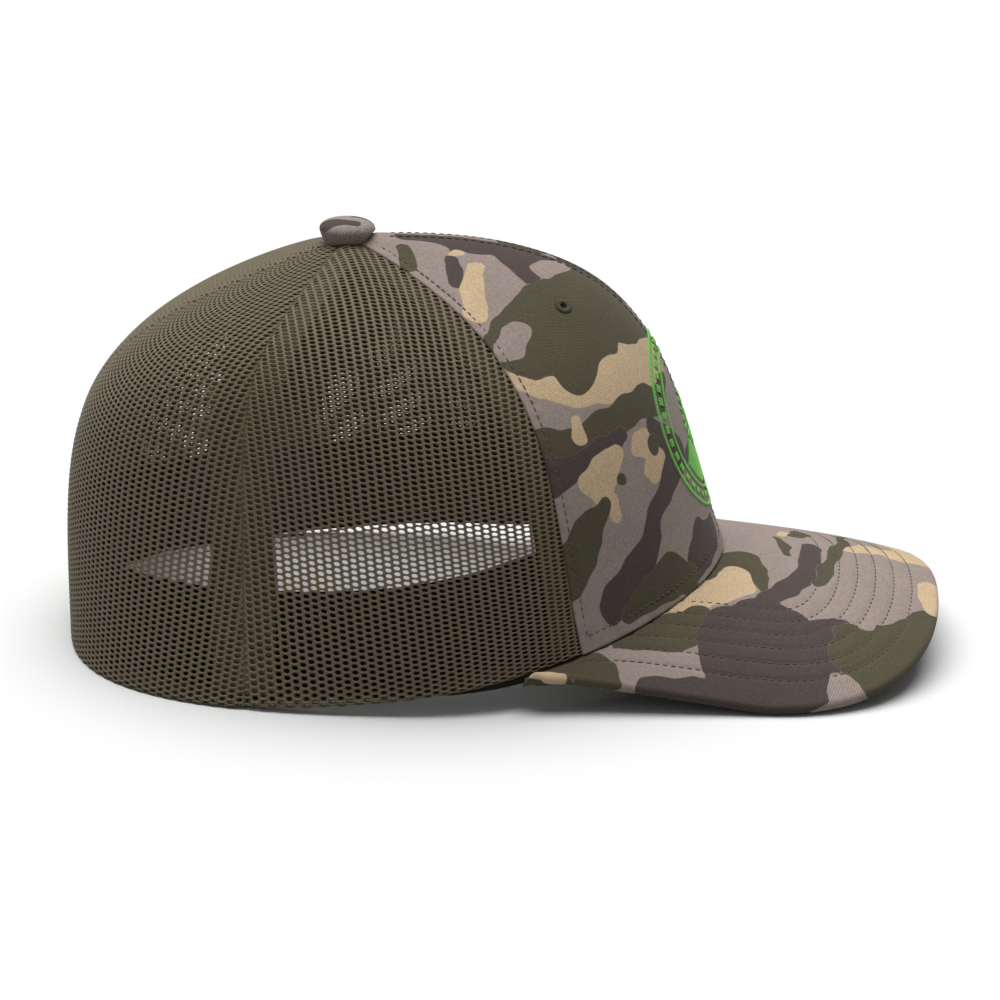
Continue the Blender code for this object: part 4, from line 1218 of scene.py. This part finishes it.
BUTTON_RADIUS = 8.7 * MM
BUTTON_HEIGHT = 5.7 * MM
BUTTON_SKIRT = 2.4 * MM       # height of the widest row above the base
BUTTON_SEAT = 0.76            # share of the radius left where the skirt meets the crown
BUTTON_TUCK = 0.68            # and at the last row, tucked under
BUTTON_BASE_Z = 0.1262
BUTTON_Y = 0.0160
EYELET_LOOP = 0.75 * MM       # half width of the ring of loops round a vent
EYELET_STAND = 0.62 * MM      # how far the loops stand up
SATIN_STEP = 0.43 * MM        # between the outer ends of the badge's radial threads
HATCH_STEP = 0.42 * MM        # between its level threads
BADGE_HEIGHT = 0.0700
BADGE_LIFT = 0.25 * MM
BADGE_THREAD = 0.17 * MM      # radius


def button():
    """Cloth pulled over a domed shell: smooth on top, gathered at its skirt."""
    turn = np.linspace(0, 2 * math.pi, 144, endpoint=False)
    rows = []
    for angle in np.linspace(0.02, 1, 40) * math.pi / 2:
        radius = BUTTON_RADIUS * math.sin(angle) ** 0.66
        height = BUTTON_SKIRT + (BUTTON_HEIGHT - BUTTON_SKIRT) * math.cos(angle) ** 0.95
        rows.append((radius, height))
    radius, height = [np.broadcast_to(np.array(part)[:, None], (len(rows), len(turn))) for part in zip(*rows)]
    azimuth = np.degrees(np.arctan2(np.cos(turn), -np.sin(turn)))
    seat = crown_surface(azimuth, rise_at_radius(azimuth, BUTTON_SEAT * BUTTON_RADIUS))
    foot = seat[:, 2] - BUTTON_BASE_Z - 0.5 * MM
    drop = np.append(np.linspace(0.12, 1, 8), 1.0)[:, None]
    shrink = 1 - (1 - BUTTON_SEAT) * drop ** 1.2
    radius = np.concatenate((radius, BUTTON_RADIUS * shrink * np.ones_like(turn)))
    radius[-1] = BUTTON_TUCK * BUTTON_RADIUS
    height = np.concatenate((height, BUTTON_SKIRT + (foot - BUTTON_SKIRT) * drop))
    gather = np.clip(radius / BUTTON_RADIUS, 0, 1) ** 8
    folds = np.sin(turn * 19 + 1.2 * np.sin(turn * 3)) + 0.6 * np.sin(turn * 31)
    radius = radius + 0.10 * MM * gather * folds - 0.05 * MM * gather
    points = np.stack((radius * np.cos(turn), radius * np.sin(turn) + BUTTON_Y,
                       np.broadcast_to(height + BUTTON_BASE_Z, radius.shape)), axis=-1)
    top = np.array((0, BUTTON_Y, BUTTON_BASE_Z + BUTTON_HEIGHT))
    faces = grid_faces(*points.shape[:2], closed=True)[:, ::-1].tolist()
    faces.append(list(range(len(turn))))
    fields = paint(points, BUTTON_STROKES, lambda a, b: top + np.array((b * MM, -a * MM, -1.0 * MM)))
    uv = np.stack((points[..., 0] + 0.2, points[..., 1]), axis=-1)
    cloth = add_piece("button_twill", points, faces, LOOKS["camo"], ("button_cover",),
                      uv=uv, fields=fields)
    thicken(cloth, 0.35 * MM)


def eyelets():
    """A ring of thread loops sewn round each vent hole."""
    for side, sign in (("right", -1), ("left", 1)):
        centre = crown_layer(EYELET_AZIMUTH, EYELET_RISE, 0.1 * MM)
        normal = crown_normal(np.array(EYELET_AZIMUTH), np.array(EYELET_RISE))
        across = unit(np.cross((0, 0, 1.0), normal))
        upward = np.cross(normal, across)
        turn = np.linspace(0, 2 * math.pi, 30, endpoint=False)[:, None]
        arc = np.linspace(-0.25, 1.1, 7)[None, :] * math.pi
        reach = EYELET_RADIUS + EYELET_LOOP * np.cos(arc)
        lift = EYELET_STAND * np.sin(arc)
        twist = (turn + 0.05 * arc)[..., None]
        ray = np.cos(twist) * across + np.sin(twist) * upward
        points = centre + reach[..., None] * ray + lift[..., None] * normal
        up = unit(points - (centre + EYELET_RADIUS * ray))
        verts, faces = thread_tubes(points, up, 0.27 * MM, np.zeros(7))
        add_piece(f"eyelet_stitching_{side}", verts * (sign, 1, 1), faces, LOOKS["eyelet"],
                  (f"eyelet_{side}",))


def badge_threads(starts, ends, stations=6):
    """Threads laid over the front of the crown between points of the badge's plane."""
    share = np.linspace(0, 1, stations)[None, :, None]
    flat = starts[:, None] + (ends - starts)[:, None] * share
    azimuth, rise = crown_at(flat[..., 0], BADGE_HEIGHT + flat[..., 1])
    normal = crown_normal(azimuth, rise)
    centre = crown_surface(azimuth, rise) + normal * BADGE_LIFT
    lift = np.array([-2.6] + [0.6] * (stations - 2) + [-2.6])
    return thread_tubes(centre, normal, BADGE_THREAD, lift, sides=5)


def ring_threads(inner, outer, gaps=0, share=1.0):
    """Radial satin stitches that fill a ring, or evenly spaced pieces of it."""
    count = int(2 * math.pi * outer / SATIN_STEP)
    turn = np.arange(count) * 2 * math.pi / count
    if gaps:
        turn = turn[(turn / (2 * math.pi) * gaps) % 1 < share]
    ray = np.stack((np.cos(turn), np.sin(turn)), axis=-1)
    return ray * inner, ray * outer


def hatch(low, high, outline):
    """Level satin stitches between low and high that fill outline(height) -> (left, right)."""
    heights = np.arange(low, high, HATCH_STEP)
    left, right = np.array([outline(height) for height in heights]).T
    wide = right - left > 0.8 * MM
    return np.stack((left, heights), axis=-1)[wide], np.stack((right, heights), axis=-1)[wide]


def embroidery():
    """A plain round motif in green thread: two rings with ticks between them, hills and a sun."""
    parts = []
    for inner, outer, gaps, share in ((26.6, 27.8, 0, 1), (21.2, 22.2, 0, 1), (23.2, 25.6, 36, 0.55)):
        parts.append(badge_threads(*ring_threads(inner * MM, outer * MM, gaps, share)))
    parts.append(badge_threads(*ring_threads(4.4 * MM, 9.0 * MM, 16, 0.5)))
    parts.append(badge_threads(*ring_threads(0.4 * MM, 3.6 * MM)))

    def hill(peak_x, peak_y, slope):
        def outline(height):
            limit = math.sqrt(max((20.2 * MM) ** 2 - height ** 2, 0))
            half = (peak_y - height) / slope
            return max(peak_x - half, -limit), min(peak_x + half, limit)
        return outline

    for x, y, slope, low, high in ((-9, -4, 0.75, -20, -4.2), (9, -6.5, 0.8, -20, -6.7)):
        parts.append(badge_threads(*hatch(low * MM, high * MM, hill(x * MM, y * MM, slope)), stations=14))
    points, faces = join_parts(parts)
    add_piece("front_embroidery", points, faces, LOOKS["green"], ("front_badge",))


# ---------------------------------------------------------------- build

# Strokes of the left front panel and of the left half of the visor
FAR_FRONT = random_strokes(11, 60, (2, 50), (0.0, 0.9), (0.55, 0.0085))
FAR_VISOR = random_strokes(23, 40, (0.16, 0.98), (0.05, 1.05), (0.007, 0.018))

front_panel("right", -1, FRONT_STROKES)
front_panel("left", 1, FAR_FRONT)
front_topstitching()
netting()
seam_tapes()
sweatband()
label()
visor_cloth()
visor_lining()
visor_stitching()
button()
eyelets()
embroidery()

# Hidden parts that keep their own shapes
for nodes, look in (
    (("front_buckram_right", "front_buckram_left"), pressed_fibre("buckram_look", BUCKRAM, 0.8 * MM)),
    (("visor_board",), pressed_fibre("visor_board_look", BOARD, 2 * MM)),
    (("button_core", "button_rivet"), steel_material("button_steel_look")),
):
    for node in nodes:
        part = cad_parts[node]
        part.data.materials.clear()
        part.data.materials.append(look)


# ---------------------------------------------------------------- floor, light, camera

CAMERA_DISTANCE = 1.0         # from the cap's middle plane, towards the wearer's right
CAMERA_Z = 0.3725
CAMERA_AHEAD = 0.0333         # of the head centre
CAMERA_PITCH = 18.34          # degrees down
CAMERA_ROLL = 1.289
CAMERA_LENS = 118.9
FLOOR_SEEN = 0.81             # how light the floor is to the camera
FLOOR_BOUNCE = 0.40           # and to the light that falls on the cap from it
SUN_SIZE = 62                 # degrees across, like a large soft box overhead
SUN_STRENGTH = 3.4
SUN_HEADING = (-0.16, -0.12, -1.0)
FILL_STRENGTH = 0.20
INSIDE_POWER = 0.015          # watts, of the soft lamp under the crown
INSIDE_SIZE = (0.03, 0.12)
INSIDE_SPREAD = 110           # degrees
INSIDE_PLACE = (0.045, 0.008, 0.062)


def floor_and_light():
    """A flat white floor, one large overhead light, the lamp under the crown and an even fill."""
    bpy.ops.mesh.primitive_plane_add(size=14)
    floor = bpy.context.object
    floor.name = "floor"
    made = Nodes("floor_look")
    seen = made.add("ShaderNodeLightPath").outputs["Is Camera Ray"]
    made.finish(made.mix(seen, (*[FLOOR_BOUNCE] * 3, 1.0), (*[FLOOR_SEEN] * 3, 1.0)), 0.8)
    made.shader.inputs["Specular IOR Level"].default_value = 0.0
    floor.data.materials.append(made.material)
    overhead = bpy.data.lights.new("overhead", "SUN")
    overhead.angle = math.radians(SUN_SIZE)
    overhead.energy = SUN_STRENGTH
    lamp = bpy.data.objects.new("overhead", overhead)
    lamp.rotation_euler = Vector(SUN_HEADING).to_track_quat("-Z", "Y").to_euler()
    bpy.context.scene.collection.objects.link(lamp)
    inside = bpy.data.lights.new("inside", "AREA")
    inside.shape = "RECTANGLE"
    inside.size, inside.size_y = INSIDE_SIZE
    inside.spread = math.radians(INSIDE_SPREAD)
    inside.energy = INSIDE_POWER
    lamp = bpy.data.objects.new("inside", inside)
    lamp.location = (HEAD + INSIDE_PLACE).tolist()
    lamp.visible_camera = False
    bpy.context.scene.collection.objects.link(lamp)
    world = bpy.data.worlds.new("studio")
    world.use_nodes = True
    tree = world.node_tree
    path = tree.nodes.new("ShaderNodeLightPath")
    strength = tree.nodes.new("ShaderNodeMix")
    tree.links.new(path.outputs["Is Camera Ray"], strength.inputs[0])
    strength.inputs[2].default_value = FILL_STRENGTH
    strength.inputs[3].default_value = 1.0
    tree.links.new(strength.outputs[0], tree.nodes["Background"].inputs[1])
    tree.nodes["Background"].inputs[0].default_value = (1, 1, 1, 1)
    bpy.context.scene.world = world
    bpy.context.scene.view_settings.view_transform = "Standard"


def camera():
    """A long lens on the wearer's right side, looking slightly down."""
    pitch, tilt = math.radians(CAMERA_PITCH), math.radians(CAMERA_ROLL)
    forward = Vector((math.cos(pitch), 0, -math.sin(pitch)))
    level = Vector((0, -1, 0))
    above = level.cross(forward)
    right = level * math.cos(tilt) + above * math.sin(tilt)
    up = above * math.cos(tilt) - level * math.sin(tilt)
    lens = bpy.data.cameras.new("camera")
    lens.lens = CAMERA_LENS
    lens.sensor_width = 36
    lens.clip_start = 0.01
    view = bpy.data.objects.new("camera", lens)
    view.matrix_world = Matrix((
        (right.x, up.x, -forward.x, -CAMERA_DISTANCE),
        (right.y, up.y, -forward.y, HEAD[1] - CAMERA_AHEAD),
        (right.z, up.z, -forward.z, CAMERA_Z),
        (0, 0, 0, 1),
    ))
    bpy.context.scene.collection.objects.link(view)
    bpy.context.scene.camera = view


floor_and_light()
camera()
